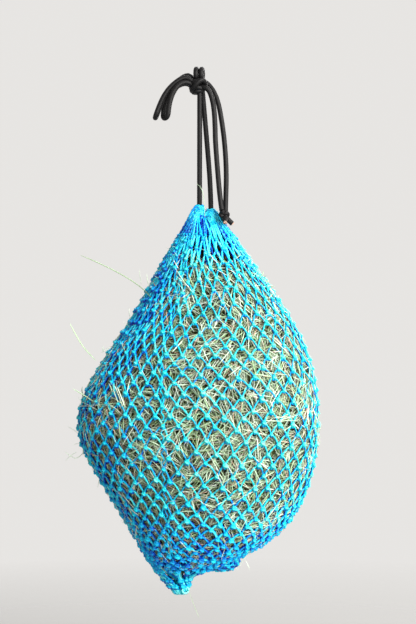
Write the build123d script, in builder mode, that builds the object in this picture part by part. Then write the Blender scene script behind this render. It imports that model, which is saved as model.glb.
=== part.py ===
from build123d import *

import os
from math import pi, radians, tan

# A haynet, hung full from a tie ring. The origin is the middle of the ring's bar, +Z is up,
# -Y is the front and +X is the right-hand side. All sizes are in millimetres.

# Draw cord and the ring bar that it hangs from
cord_d = 5.5
ring_bar_d = 6.0
turn_gap = 0.5  # between the two turns over the bar
turns_mid_x = -0.3
hitch_r = 7.5
hitch_x = -1.9
hitch_drop = 13.3  # ring bar down to the middle of the hitch

# Netting
twine_d = 2.6  # also the thickness of the netting's skin
bag_w = 264.0
bag_d = 214.0
bag_h = 397.0  # from the mouth's rim down to the rim of the bottom gather

# Mouth, where the net's top meshes are bunched on the draw cord
strand_drop = 149.0  # ring bar down to where the tight strands enter the mouth
leg_left_x = 0.0
leg_spacing = 12.6  # middle to middle of the cord's two legs in the mouth
bunch_gap = 0.4  # between the two bunches
bunch_left_rise = 6.3  # how far each bunch stands above the strand's end
bunch_right_rise = 2.0
bunch_drop = 13.0  # how far the bunches reach below it
bunch_shoulder = 3.2  # height of each bunch's rounded top
bunch_rim = 0.6  # flat rim left round the strand
mouth_rim_drop = 7.0  # strand's end down to the rim of the netting
mouth_slack = 2.0  # between the bunches and the rim, front and back
leg_drop = 22.3  # strand's end down to the bottom of the cord's run through the mouth
rock_angle = 10.0  # how far the bag rocks on the strands, each way

# Bottom gather, its tie and the corner gather
gather_x = -21.0
gather_rim_r = 16.0
gather_waist_r = 6.8
gather_tuft_r = 9.9
gather_taper_h = 3.0  # rim down to the waist
gather_neck_h = 7.5  # rim down to the tuft
gather_tuft_h = 11.0
gather_tuft_widest = 4.4  # top of the tuft down to its widest
tie_d = 2.4
tie_turns = 2
corner_x = 27.0
corner_rise = 15.0  # bottom gather's rim up to the middle of the corner gather
corner_r = 7.8

# Lacing seam
seam_w = 6.0
seam_proud = 1.7

# End knot and cut ends of the tails
end_knot_r = 5.8
end_knot_at = (27.0, -14.5, -156.4)
cut_end_left = (28.0, -23.7, -163.9)
cut_end_right = (35.8, -14.1, -165.0)

# Clearances
gap = 0.3  # between pieces that move on each other, and round soft pieces

cord_r = cord_d / 2
turn_r = ring_bar_d / 2 + cord_r
turn_spacing = cord_d + turn_gap  # middle to middle
hitch_at = (hitch_x, 0, -hitch_drop)
strand_z = -strand_drop
leg_right_x = leg_left_x + leg_spacing
rim_z = strand_z - mouth_rim_drop
base_z = rim_z - bag_h
mouth_x = leg_left_x + leg_spacing / 2
bunch_r = (leg_spacing - bunch_gap) / 2
mouth_rim_d = 2 * (bunch_r + gap + twine_d + mouth_slack)  # front to back

# The netting's outline, from the widest stretches down: share of the height below the rim, then the
# left and right edges as shares of half the width, and the half depth as a share of half the depth.
# The mouth and the bottom rim have their own sizes.
outline = [
    (0.045, -0.158, 0.271, 0.224),
    (0.123, -0.302, 0.433, 0.383),
    (0.285, -0.574, 0.767, 0.664),
    (0.438, -0.871, 0.955, 0.907),
    (0.577, -1.01, 0.989, 1.0),
    (0.730, -0.822, 0.920, 0.907),
    (0.894, -0.523, 0.580, 0.617),
    (0.976, -0.350, 0.085, 0.262),
]

# Routes of the cord, by points, chosen by hand. The tight strands start inside the hitch.
load_left_route = [
    (0.3, -2.9, -14),
    (leg_left_x, 0, strand_z - cord_r),
]
load_right_route = [
    (2.9, 2.9, -14),
    (9.5, 1.3, -88.5),
    (12.2, 0.4, -127),
    (leg_right_x, 0, strand_z - cord_r),
]
tail_left_route = [
    (0, -4.5, -13.5),
    (6, -7.4, -14.6),
    (11, -7.3, -19.4),
    (14, -6.9, -28),
    (16.1, -6.7, -40),
    (17.1, -7, -57.7),
    (17.3, -7.6, -72),
    (18.5, -8.8, -89.6),
    (20.1, -10.6, -110),
    (21.6, -12.8, -128),
    (23.2, -15.2, -142),
    (24.4, -17.2, -150.5),
]
tail_right_route = [
    (-4, 5.5, -12),
    (4, 10.3, -10.2),
    (12, 10.2, -12),
    (18, 8, -19),
    (22, 5.6, -32),
    (25.1, 2.8, -54.5),
    (27.5, 0.2, -74.2),
    (29.1, -3, -97),
    (29.4, -6, -116),
    (28.9, -8.8, -133),
    (28.6, -10.8, -144),
    (28.5, -11.9, -151),
]
bight_outer_route = [
    (-4, -3, -12),
    (-9.5, -3.2, -8.9),
    (-14, -3.8, -6.2),
    (-19, -4.2, -6.2),
    (-23.6, -4.6, -8.8),
    (-28.2, -5, -12.2),
    (-32.8, -5.3, -16.6),
    (-37, -5.6, -21.9),
    (-40.6, -5.8, -28),
    (-43.6, -5.9, -34.6),
    (-46.2, -6, -41.2),
    (-48.4, -6, -47.8),
    (-48.8, 6, -47.5),
    (-46.2, 6, -41),
    (-43.5, 5.9, -33.9),
    (-40.4, 5.8, -26.9),
    (-36.6, 5.6, -20.4),
    (-32, 5.3, -14.6),
    (-27, 5, -9.4),
    (-21.8, 4.8, -4.8),
    (-17.2, 4.4, -1.9),
    (-13.4, 3.8, -3.4),
    (-9.5, 3.2, -8.7),
    (-4, 3, -12),
]
bight_inner_route = [
    (-5, -3, -15.8),
    (-10.2, -4.2, -15.6),
    (-15.5, -6.2, -13.2),
    (-20.5, -8, -13),
    (-25.2, -9, -15.8),
    (-28.8, -9.4, -21.2),
    (-31.6, -9.4, -28.4),
    (-33.6, -9.2, -36.4),
    (-34.8, -8.8, -48.9),
    (-40.6, -1.6, -48.6),
    (-39.6, -1.2, -40.4),
    (-37.4, -0.8, -33),
    (-34.6, -0.4, -26),
    (-30.8, 0, -20),
    (-26, 0.2, -15.8),
    (-21, 0.8, -13.6),
    (-15.7, 1.8, -13.8),
    (-10.2, 3, -15.6),
    (-5, 3, -15.8),
]
mouth_route = [
    (leg_left_x, 0, strand_z - cord_r - gap),
    (leg_left_x, 0, strand_z - leg_drop),
    (leg_right_x, 0, strand_z - leg_drop),
    (leg_right_x, 0, strand_z - cord_r - gap),
]
# The lacing seam's line, seen from the front: x as a share of half the width, then the share of the
# height below the rim
seam_line = [
    (-0.034, 0.015),
    (-0.080, 0.081),
    (-0.138, 0.149),
    (-0.197, 0.259),
    (-0.271, 0.330),
    (-0.303, 0.378),
    (-0.288, 0.469),
    (-0.280, 0.647),
    (-0.263, 0.786),
    (-0.230, 0.912),
    (-0.197, 0.977),
]


def corner_radii(points):
    """The largest arcs that a route's runs allow, one for each corner."""
    radii = []
    for before, corner, after in zip(points, points[1:], points[2:]):
        run_in = Vector(corner) - Vector(before)
        run_out = Vector(after) - Vector(corner)
        half_turn = radians(run_in.get_angle(run_out)) / 2
        radii.append(0.45 * min(run_in.length, run_out.length) / tan(half_turn))
    return radii


def cord_path(points):
    """A route as straight runs joined by tangent arcs."""
    if len(points) == 2:
        return Line(*points)
    return FilletPolyline(*points, radius=corner_radii(points))


def report_tube(label, points, tube_volume, path_length):
    """Prints a tube's radii, and its volume against its section times its length."""
    radii = [round(r, 1) for r in corner_radii(points)]
    expected = pi * cord_r**2 * path_length
    print(label, "radii", radii)
    print(label, "length", round(path_length, 1), "volume share", round(tube_volume / expected, 4))


def cord_tube(label, points, swallowed_by=()):
    """A stretch of cord. Each (centre, radius) in swallowed_by is a knot that hides what lies in it."""
    with BuildPart() as tube:
        with BuildLine() as route:
            cord_path(points)
        with BuildSketch(Plane(origin=route.wire() @ 0, z_dir=route.wire() % 0)):
            Circle(cord_r)
        sweep(path=route.wire())
        report_tube(label, points, tube.part.volume, route.wire().length)
        for centre, radius in swallowed_by:
            with Locations(centre):
                Sphere(radius, mode=Mode.SUBTRACT)
    tube.part.label = label
    return tube


def cut_end(label, tip):
    """A cut end below the end knot. It starts inside the knot, a third of the way out."""
    start = Vector(end_knot_at) * 0.7 + Vector(tip) * 0.3
    return cord_tube(label, [start, tip], [(end_knot_at, end_knot_r)])


def round_lower_end(tube):
    """Rounds a tight strand's lower end, so that the bag can rock on it."""
    with BuildPart() as rounded:
        add(tube.part)
        fillet(rounded.edges().group_by(Axis.Z)[0], radius=0.98 * cord_r)
    rounded.part.label = tube.part.label
    return rounded


def outline_sections(grow):
    """The netting's sections, grown sideways by grow, each as x, z, half width and half depth."""
    rim_half_w = leg_spacing / 2 + bunch_r + gap + twine_d
    sections = [(mouth_x, rim_z, rim_half_w + grow, mouth_rim_d / 2 + grow)]
    for down, left, right, depth in outline:
        middle = (left + right) / 2 * bag_w / 2
        half_w = (right - left) / 2 * bag_w / 2
        sections.append((middle, rim_z - down * bag_h, half_w + grow, depth * bag_d / 2 + grow))
    sections.append((gather_x, base_z, gather_rim_r + grow, gather_rim_r + grow))
    return sections


def bag_form(grow):
    """The bag's full form as one solid, grown sideways by grow from the netting's outer face."""
    with BuildPart() as form:
        for x, z, half_w, half_d in outline_sections(grow):
            with BuildSketch(Plane.XY.offset(z)):
                with Locations((x, 0)):
                    Ellipse(half_w, half_d)
        loft()
    return form.part


def bunch(label, leg_x, rise):
    """A bunch of top meshes: a dome round one leg of the cord, with room for the strand to rock in it."""
    top_z = strand_z + rise
    low_z = strand_z - bunch_drop
    bore_r = cord_r + gap
    mouth_r = bore_r + rise * tan(radians(rock_angle)) + gap
    rim_x = leg_x + mouth_r + bunch_rim
    side_x = leg_x + bunch_r
    shoulder_z = top_z - bunch_shoulder
    with BuildPart() as dome:
        with BuildSketch(Plane.XZ):
            with BuildLine():
                Line((leg_x + bore_r, low_z), (side_x, low_z))
                Line((side_x, low_z), (side_x, shoulder_z))
                Spline((side_x, shoulder_z), (rim_x, top_z), tangents=[(0, 1), (-1, 0.25)])
                Line((rim_x, top_z), (leg_x + mouth_r, top_z))
                Line((leg_x + mouth_r, top_z), (leg_x + bore_r, strand_z))
                Line((leg_x + bore_r, strand_z), (leg_x + bore_r, low_z))
            make_face()
        revolve(axis=Axis((leg_x, 0, 0), (0, 0, 1)))
    dome.part.label = label
    return dome


def ring_turn(label, x):
    """One turn of the cord over the ring's bar."""
    with BuildPart() as turn:
        with Locations(Location((x, 0, 0), (0, 90, 0))):
            Torus(turn_r, cord_r)
    turn.part.label = label
    return turn


ring_turn_left = ring_turn("ring_turn_left", turns_mid_x - turn_spacing / 2)
ring_turn_right = ring_turn("ring_turn_right", turns_mid_x + turn_spacing / 2)

# Hitch under the ring: a ball hollowed on top, so that it turns round the bar under the two turns
with BuildPart() as hitch_knot:
    with Locations(hitch_at):
        Sphere(hitch_r)
    with Locations(Location((hitch_x, 0, 0), (0, 90, 0))):
        Cylinder(turn_r + cord_r + gap, 4 * hitch_r, mode=Mode.SUBTRACT)
hitch_knot.part.label = "hitch_knot"

in_hitch = (hitch_at, hitch_r)
clear_of_hitch = (hitch_at, hitch_r + gap)
in_end_knot = (end_knot_at, end_knot_r)

slip_bight_outer = cord_tube("slip_bight_outer", bight_outer_route, [in_hitch])
slip_bight_inner = cord_tube("slip_bight_inner", bight_inner_route, [in_hitch])
load_strand_left = round_lower_end(cord_tube("load_strand_left", load_left_route, [clear_of_hitch]))
load_strand_right = round_lower_end(cord_tube("load_strand_right", load_right_route, [clear_of_hitch]))
tail_strand_left = cord_tube("tail_strand_left", tail_left_route, [clear_of_hitch, in_end_knot])
tail_strand_right = cord_tube("tail_strand_right", tail_right_route, [clear_of_hitch, in_end_knot])
cord_end_left = cut_end("cord_end_left", cut_end_left)
cord_end_right = cut_end("cord_end_right", cut_end_right)
mouth_cord = cord_tube("mouth_cord", mouth_route)

with BuildPart() as end_knot:
    with Locations(end_knot_at):
        Sphere(end_knot_r)
end_knot.part.label = "end_knot"

mouth_gather_left = bunch("mouth_gather_left", leg_left_x, bunch_left_rise)
mouth_gather_right = bunch("mouth_gather_right", leg_right_x, bunch_right_rise)

# Netting, as a thin skin open at the mouth and at the bottom
netting_form = bag_form(0)
clear_form = bag_form(gap)
with BuildPart() as net_body:
    add(netting_form)
    add(bag_form(-twine_d), mode=Mode.SUBTRACT)
net_body.part.label = "net_body"

# Hay, which starts under the cord in the mouth and stops on the bottom gather
hay_top_z = strand_z - leg_drop - cord_r - 2 * gap
gather_top_z = base_z + twine_d + gap
with BuildPart() as hay_fill:
    add(bag_form(-twine_d - gap))
    split(bisect_by=Plane.XY.offset(hay_top_z), keep=Keep.BOTTOM)
    split(bisect_by=Plane.XY.offset(gather_top_z + gap), keep=Keep.TOP)
hay_fill.part.label = "hay_fill"

# Lacing seam: a band on the front of the netting
with BuildPart() as side_seam:
    with BuildSketch(Plane.XZ):
        with BuildLine() as seam_route:
            Spline(*[(across * bag_w / 2, rim_z - down * bag_h) for across, down in seam_line])
        trace(line_width=seam_w)
    extrude(amount=bag_d)
    add(bag_form(gap + seam_proud), mode=Mode.INTERSECT)
    add(clear_form, mode=Mode.SUBTRACT)
side_seam.part.label = "side_seam"

# Bottom gather: a plug in the netting's rim, a waist for the tie and a tuft
plug_r = gather_rim_r - 2 * twine_d - gap
plug_top_r = plug_r - twine_d / 2
waist_top_z = base_z - gather_taper_h
waist_low_z = base_z - gather_neck_h
tuft_mid_z = waist_low_z - gather_tuft_widest
tuft_low_z = waist_low_z - gather_tuft_h
with BuildPart() as base_gather:
    with BuildSketch(Plane.XZ):
        with BuildLine():
            Line((gather_x, gather_top_z), (gather_x + plug_top_r, gather_top_z))
            Line((gather_x + plug_top_r, gather_top_z), (gather_x + plug_r, base_z))
            Line((gather_x + plug_r, base_z), (gather_x + gather_waist_r, waist_top_z))
            Line((gather_x + gather_waist_r, waist_top_z), (gather_x + gather_waist_r, waist_low_z))
            Spline(
                (gather_x + gather_waist_r, waist_low_z),
                (gather_x + gather_tuft_r, tuft_mid_z),
                (gather_x, tuft_low_z),
                tangents=[(1, -0.6), (-1, 0)],
            )
            Line((gather_x, tuft_low_z), (gather_x, gather_top_z))
        make_face()
    revolve(axis=Axis((gather_x, 0, 0), (0, 0, 1)))
base_gather.part.label = "base_gather"

# Tie: turns of twine round the waist
tie_r = gather_waist_r + tie_d / 2 + gap / 10
tie_pitch = tie_d + gap / 3
with BuildPart() as base_tie:
    for turn in range(tie_turns):
        turn_z = waist_low_z + tie_d / 2 + turn * tie_pitch
        with Locations((gather_x, 0, turn_z)):
            Torus(tie_r, tie_d / 2)
base_tie.part.label = "base_tie"

# Corner gather: a small knob of drawn-in meshes on the underside
with BuildPart() as corner_gather:
    with Locations((corner_x, 0, base_z + corner_rise)):
        Sphere(corner_r)
    add(clear_form, mode=Mode.SUBTRACT)
corner_gather.part.label = "corner_gather"

pieces = [
    ring_turn_left,
    ring_turn_right,
    hitch_knot,
    slip_bight_outer,
    slip_bight_inner,
    load_strand_left,
    load_strand_right,
    tail_strand_left,
    tail_strand_right,
    end_knot,
    cord_end_left,
    cord_end_right,
    mouth_cord,
    mouth_gather_left,
    mouth_gather_right,
    net_body,
    side_seam,
    base_gather,
    base_tie,
    corner_gather,
    hay_fill,
]
os.makedirs("parts", exist_ok=True)
for piece in pieces:
    export_step(piece.part, f"parts/{piece.part.label}.step")
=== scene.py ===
from math import atan2, cos, pi, radians, sin, sqrt, tau

import bpy
import numpy as np
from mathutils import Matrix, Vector
from mathutils.bvhtree import BVHTree


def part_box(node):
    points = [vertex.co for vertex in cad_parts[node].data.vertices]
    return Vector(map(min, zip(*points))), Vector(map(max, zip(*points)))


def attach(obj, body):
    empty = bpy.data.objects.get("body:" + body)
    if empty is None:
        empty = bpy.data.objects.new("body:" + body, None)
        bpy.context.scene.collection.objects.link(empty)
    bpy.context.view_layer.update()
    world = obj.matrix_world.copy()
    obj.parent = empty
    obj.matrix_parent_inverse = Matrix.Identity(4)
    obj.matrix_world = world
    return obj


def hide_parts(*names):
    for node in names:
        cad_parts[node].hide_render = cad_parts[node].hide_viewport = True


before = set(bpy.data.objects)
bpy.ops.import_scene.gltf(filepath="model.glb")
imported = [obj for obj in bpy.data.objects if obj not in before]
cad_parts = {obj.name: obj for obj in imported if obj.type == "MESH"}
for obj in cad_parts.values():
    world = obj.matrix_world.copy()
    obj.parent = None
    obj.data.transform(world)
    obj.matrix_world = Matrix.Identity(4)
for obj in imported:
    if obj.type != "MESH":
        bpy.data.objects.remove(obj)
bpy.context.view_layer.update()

# A haynet, hung full from a tie ring. The frame's origin is the middle of the ring's bar, +Z is up and
# -Y is the front. Sizes are in metres; MM turns a size in millimetres into metres.
MM = 0.001

# Draw cord
CORD_D = 5.5 * MM
BRAID_STRANDS = 6  # each way round
BRAID_PITCH = 15 * MM
BRAID_RELIEF = 0.3 * MM
CORD_STEP = 0.62 * MM  # between the rings of a braided tube

# Netting
TWINE_D = 2.55 * MM
TWIST_PITCH = 17 * MM
MESHES_ROUND = 39
BAR_LENGTH = 14.7 * MM
FIRST_ROW_Z = -177 * MM  # the highest knots
LAST_ROW_Z = -541 * MM  # the lowest knots
HANG_Z = -455 * MM  # below this the columns of meshes hang nearly straight down
HANG = 0.68  # 0 draws the columns evenly to the base, 1 lets them hang plumb
KNOT_SIZE = 1.16
SMALL_KNOT = 0.85  # the back of the knot, which shows on every other row
ARCH = 0.58  # below 1 rounds the top of each mesh
SHORTEST_DROP = 0.62  # of a bar's length, however wide the mesh is pulled
BAR_POINTS = np.array([0, 0.15, 0.4, 0.7, 1.0])  # shares of the way from a knot to the next one down
BACKING_DEPTH = 2.0 * MM  # of the slack twine behind crowded meshes
BUNCHED_AT = -5.2  # where the meshes crowd together, in meshes from the seam: less than 0 is left of it
OPEN_AT = 5.5  # where they are widest
SEAM_NARROWING = 0.28  # how much narrower they are at the seam itself

# Hay
HAY_DEPTH = 6.5 * MM  # from the netting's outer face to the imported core
STEM_W = 0.84 * MM
HAY_SHOWS_Z = -192 * MM  # above this the twine hides it
HAY_ENDS_Z = -536 * MM  # below this no stems grow
HAY_FADE_TOP = 40 * MM  # how far down the stems take to reach their full density
HAY_FADE_BASE = 14 * MM  # and how far up from their end

FRONT = (0, -1, 0)


# ---------------------------------------------------------------- node graphs


class Wire:
    """A node's output, which takes part in sums, products and powers like a number."""

    def __init__(self, graph, output):
        self.graph = graph
        self.output = output

    def maths(self, operation, *values):
        return self.graph.add("ShaderNodeMath", {"operation": operation}, dict(enumerate(values)))

    def __add__(self, other):
        return self.maths("ADD", self, other)

    def __sub__(self, other):
        return self.maths("SUBTRACT", self, other)

    def __rsub__(self, other):
        return self.maths("SUBTRACT", other, self)

    def __mul__(self, other):
        return self.maths("MULTIPLY", self, other)

    def __truediv__(self, other):
        return self.maths("DIVIDE", self, other)

    def __pow__(self, other):
        return self.maths("POWER", self, other)

    __radd__ = __add__
    __rmul__ = __mul__

    def clamped(self):
        return self.maths("MINIMUM", self.maths("MAXIMUM", self, 0), 1)


class Graph:
    """A node tree under construction."""

    def __init__(self, tree):
        self.tree = tree

    def add(self, kind, settings=None, sockets=None, output=0):
        """Adds a node: its settings first, then its sockets' values or wires. Returns one output."""
        node = self.tree.nodes.new(kind)
        for name, value in (settings or {}).items():
            if name == "stops":
                set_stops(node.color_ramp, value)
            else:
                setattr(node, name, value)
        for key, value in (sockets or {}).items():
            self.fill(self.pick(node.inputs, key), value)
        return Wire(self, self.pick(node.outputs, output))

    def pick(self, sockets, key):
        """A socket by its number, or the first one in use with that name."""
        if isinstance(key, int):
            return [s for s in sockets if s.enabled][key]
        return next(s for s in sockets if s.enabled and s.name == key)

    def fill(self, socket, value):
        for one in value if isinstance(value, list) else [value]:
            if isinstance(one, Wire):
                self.tree.links.new(one.output, socket)
            else:
                socket.default_value = one

    def mix(self, below, above, share):
        """A colour between two, by a share from 0 to 1."""
        return self.add(
            "ShaderNodeMix", {"data_type": "RGBA"}, {"Factor": share, "A": below, "B": above}, "Result"
        )

    def noise(self, vector, scale, detail):
        return self.add("ShaderNodeTexNoise", {}, {"Vector": vector, "Scale": scale, "Detail": detail}, "Fac")

    def stretched(self, vector, x, y, z):
        """The coordinates, scaled along each axis."""
        return self.add("ShaderNodeVectorMath", {"operation": "MULTIPLY"}, {0: vector, 1: (x, y, z)})

    def ramp(self, share, stops):
        return self.add("ShaderNodeValToRGB", {"stops": stops}, {"Fac": share}, "Color")


def linear(value):
    """A display value of 0 to 255 on the linear scale of 0 to 1."""
    return ((value / 255 + 0.055) / 1.055) ** 2.4 if value > 10 else value / 255 / 12.92


def colour(red, green, blue):
    """A linear colour from display values of 0 to 255."""
    return linear(red), linear(green), linear(blue), 1


def set_stops(ramp, stops):
    """Gives a colour ramp its stops: a place, red, green and blue each."""
    while len(ramp.elements) < len(stops):
        ramp.elements.new(0.5)
    for element, (place, *shade) in zip(ramp.elements, stops):
        element.position = place
        element.color = colour(*shade)


# ------------------------------------------------------------------ finishes


def start_finish(name, constants):
    """A new material: itself, its graph and its shader, with the shader's constants set."""
    material = bpy.data.materials.new(name)
    material.use_nodes = True
    graph = Graph(material.node_tree)
    shader = material.node_tree.nodes["Principled BSDF"]
    for socket, value in constants.items():
        shader.inputs[socket].default_value = value
    return material, graph, shader


def attribute(graph, name):
    """A number stored on the mesh."""
    return graph.add("ShaderNodeAttribute", {"attribute_name": name}, {}, "Fac")


def object_place(graph):
    return graph.add("ShaderNodeTexCoord", {}, {}, "Object")


def add_bump(graph, shader, height, distance):
    bump = graph.add("ShaderNodeBump", {}, {"Height": height, "Distance": distance, "Strength": 1.0})
    graph.fill(shader.inputs["Normal"], bump)


def twine_finish():
    """Bright twine with painted light and shade: pale where it faces out and up, deep blue as painted shade
    against the hay, in its twist, in sunk strands and where the meshes bunch.
    """
    material, graph, shader = start_finish("net_twine", {"Specular IOR Level": 0.25})
    place = object_place(graph)
    outward = attribute(graph, "outward")
    tone = attribute(graph, "tone")
    crowd = attribute(graph, "crowd")
    depth = attribute(graph, "depth")
    fibres = graph.noise(place, 1300, 2)
    flecks = graph.noise(place, 260, 2)
    patches = graph.noise(place, 55, 2)
    # Painted light and shade: lighter where the twine faces out and up, darker by the painted shade each
    # strand is given and where the meshes crowd. The noises and tone are the twine's own uneven colour.
    light = outward * 0.66 + 0.16 - depth * 0.4 + (fibres - 0.5) * 0.5 + (patches - 0.5) * 0.45
    light = light + (flecks - 0.5) * (0.7 - crowd * 0.5) + (tone - 0.5) * (0.3 + crowd * 0.45) - crowd * 0.12
    # The paler, greener ramp is painted light on open meshes; the deeper blue one, mixed in by crowding, is
    # painted shade where the meshes bunch.
    open_lit_stops = [
        (0.0, 0, 34, 150), (0.2, 0, 86, 200), (0.42, 0, 168, 206), (0.68, 14, 214, 206), (1.0, 150, 248, 224),
    ]
    crowded_shade_stops = [
        (0.0, 0, 34, 156), (0.2, 0, 86, 208), (0.42, 0, 164, 228), (0.68, 0, 208, 240), (1.0, 96, 240, 250),
    ]
    light = light.clamped()
    base = graph.mix(graph.ramp(light, open_lit_stops), graph.ramp(light, crowded_shade_stops), (crowd * 1.3).clamped())
    graph.fill(shader.inputs["Base Color"], base)
    graph.fill(shader.inputs["Roughness"], 0.6 - fibres * 0.3)
    add_bump(graph, shader, fibres, 0.25 * MM)
    return material


def cord_finish():
    """Black braided cord, with a painted highlight on top of its strands and painted shade between them, and
    lighter in worn patches.
    """
    material, graph, shader = start_finish("draw_cord", {"Specular IOR Level": 0.22})
    place = object_place(graph)
    braid = attribute(graph, "braid")
    yarns = graph.noise(place, 1900, 2)
    wear = graph.noise(place, 60, 3)
    # The braid's raised strands are lighter as a painted highlight and its hollows darker as painted shade;
    # the wear noise is the cord's own worn patches.
    light = (braid * 0.75 + (yarns - 0.5) * 0.5 + (wear - 0.5) * 0.5).clamped()
    stops = [(0.0, 1, 1, 1), (0.5, 6, 5, 6), (0.85, 18, 16, 17), (1.0, 46, 42, 42)]
    graph.fill(shader.inputs["Base Color"], graph.ramp(light, stops))
    graph.fill(shader.inputs["Roughness"], 0.66 - braid * 0.24)
    add_bump(graph, shader, yarns, 0.2 * MM)
    return material


def cut_yarn_finish():
    """The pale yarns inside the cord, which show where it is cut."""
    material, graph, shader = start_finish("cut_yarn", {"Specular IOR Level": 0.3})
    place = object_place(graph)
    yarns = graph.noise(place, 1500, 2)
    stops = [(0.25, 150, 108, 92), (0.55, 214, 178, 160), (0.8, 240, 222, 208)]
    graph.fill(shader.inputs["Base Color"], graph.ramp(yarns, stops))
    graph.fill(shader.inputs["Roughness"], 0.6 + yarns * 0.3)
    add_bump(graph, shader, yarns, 0.2 * MM)
    return material


def stem_finish():
    """Dry grass: green and pale stems and a few pinkish ones, mottled, with painted shade that darkens them
    the deeper they lie.
    """
    material, graph, shader = start_finish("hay_stem", {"Specular IOR Level": 0.35})
    place = object_place(graph)
    tone = attribute(graph, "tone")
    depth = attribute(graph, "depth")
    streaks = graph.noise(place, 420, 3)
    stops = [
        (0.0, 129, 160, 106), (0.18, 182, 218, 162), (0.36, 212, 242, 200), (0.55, 226, 248, 216),
        (0.72, 238, 250, 230), (0.88, 246, 252, 238), (0.95, 228, 192, 166), (1.0, 184, 134, 112),
    ]
    base = graph.ramp((tone + (streaks - 0.5) * 0.22).clamped(), stops)
    # Painted shade: the deeper a stem lies towards the core, the more it is darkened towards a dark green.
    shaded = graph.mix(base, colour(24, 32, 16), (depth ** 2.4 * 1.1).clamped())
    graph.fill(shader.inputs["Base Color"], shaded)
    graph.fill(shader.inputs["Roughness"], 0.72 - streaks * 0.3)
    add_bump(graph, shader, streaks, 0.15 * MM)
    return material


def core_finish():
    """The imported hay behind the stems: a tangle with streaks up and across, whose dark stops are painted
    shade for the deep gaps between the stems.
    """
    material, graph, shader = start_finish("hay_core", {"Specular IOR Level": 0.1})
    place = object_place(graph)
    across = graph.noise(graph.stretched(place, 1.0, 0.6, 0.16), 950, 2)
    along = graph.noise(graph.stretched(place, 0.16, 0.6, 1.0), 950, 2)
    patches = graph.noise(place, 120, 2)
    tangle = graph.add("ShaderNodeMath", {"operation": "MAXIMUM"}, {0: across, 1: along})
    light = ((tangle - 0.5) * 2.6 + (patches - 0.5) * 0.8).clamped()
    stops = [(0.0, 20, 22, 10), (0.4, 78, 84, 46), (0.75, 156, 162, 108), (1.0, 206, 208, 152)]
    graph.fill(shader.inputs["Base Color"], graph.ramp(light, stops))
    shader.inputs["Roughness"].default_value = 0.9
    add_bump(graph, shader, tangle, 1.5 * MM)
    return material


# ------------------------------------------------------------------- shapes


def new_piece(name, mesh):
    """Puts a mesh in the scene as an object."""
    piece = bpy.data.objects.new(name, mesh)
    bpy.context.scene.collection.objects.link(piece)
    return piece


def spaced(line, step):
    """The same line with evenly spaced points, about step apart."""
    line = np.asarray(line, float)
    along = np.concatenate([[0], np.cumsum(np.linalg.norm(np.diff(line, axis=0), axis=1))])
    at = np.linspace(0, along[-1], max(2, round(along[-1] / step) + 1))
    return np.stack([np.interp(at, along, line[:, k]) for k in range(3)], axis=1)


def line_length(line):
    return float(np.linalg.norm(np.diff(line, axis=0), axis=1).sum())


def smooth_line(points):
    """The line of a cord: the NURBS curve with these control points."""
    data = bpy.data.curves.new("line", "CURVE")
    data.dimensions = "3D"
    spline = data.splines.new("NURBS")
    spline.points.add(len(points) - 1)
    for control, point in zip(spline.points, points):
        control.co = (*point, 1)
    spline.order_u = 3
    spline.use_endpoint_u = True
    spline.resolution_u = 16
    carrier = bpy.data.objects.new("line", data)
    mesh = bpy.data.meshes.new_from_object(carrier)
    line = np.array([v.co for v in mesh.vertices], float)
    bpy.data.meshes.remove(mesh)
    bpy.data.curves.remove(data)
    return line


def rings_along(line, sides, closed):
    """For each point of a line, the directions to a ring's corners, carried along without twisting."""
    if closed:
        tangents = np.roll(line, -1, axis=0) - np.roll(line, 1, axis=0)
    else:
        tangents = np.gradient(line, axis=0)
    tangents /= np.linalg.norm(tangents, axis=1)[:, None]
    side = np.cross(tangents[0], [0.3, 0.2, 0.93])
    angles = np.arange(sides) * tau / sides
    rings = []
    for tangent in tangents:
        side = side - tangent * (side @ tangent)
        side /= np.linalg.norm(side)
        up = np.cross(tangent, side)
        rings.append(np.cos(angles)[:, None] * side + np.sin(angles)[:, None] * up)
    return np.array(rings)


def tube_mesh(line, radius, sides, relief=None, closed=False):
    """Vertices, faces and relief values of a tube. relief(turn, along) is from 0 to 1."""
    line = np.asarray(line, float)
    along = np.concatenate([[0], np.cumsum(np.linalg.norm(np.diff(line, axis=0), axis=1))])
    rings = rings_along(line, sides, closed)
    heights = np.zeros((len(line), sides))
    radii = np.broadcast_to(np.asarray(radius, float), (len(line),))[:, None] * np.ones((1, sides))
    if relief:
        turn = np.arange(sides)[None, :] / sides
        heights = relief(turn, along[:, None])
        radii = radii + (heights - 0.5) * BRAID_RELIEF
    vertices = (line[:, None, :] + rings * radii[:, :, None]).reshape(-1, 3)
    faces = []
    count = len(line)
    for i in range(count if closed else count - 1):
        for k in range(sides):
            a, b = i * sides + k, i * sides + (k + 1) % sides
            c, d = (i + 1) % count * sides + (k + 1) % sides, (i + 1) % count * sides + k
            faces.append((a, b, c, d))
    if not closed:
        faces.append(tuple(reversed(range(sides))))
        faces.append(tuple((count - 1) * sides + k for k in range(sides)))
    return vertices, faces, heights.reshape(-1)


def merged(tubes):
    """The vertices, faces and relief values of several tubes as one set."""
    vertices, faces, heights = [], [], []
    for tube_vertices, tube_faces, tube_heights in tubes:
        faces += [tuple(i + len(vertices) for i in face) for face in tube_faces]
        vertices += list(tube_vertices)
        heights += list(tube_heights)
    return vertices, faces, heights


def braid(pitch):
    """The relief of a round braid: two families of strands, each going over and under the other."""

    def relief(turn, along):
        right = BRAID_STRANDS * (turn + along / pitch)
        left = BRAID_STRANDS * (turn - along / pitch)
        right_share, left_share = right % 1, left % 1
        over = (np.floor(right) + np.floor(left)) % 2 < 1
        across = np.where(over, left_share, right_share)
        lengthways = np.where(over, right_share, left_share)
        return np.sin(pi * across) ** 0.6 * (0.55 + 0.45 * np.sin(pi * lengthways))

    return relief


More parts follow.
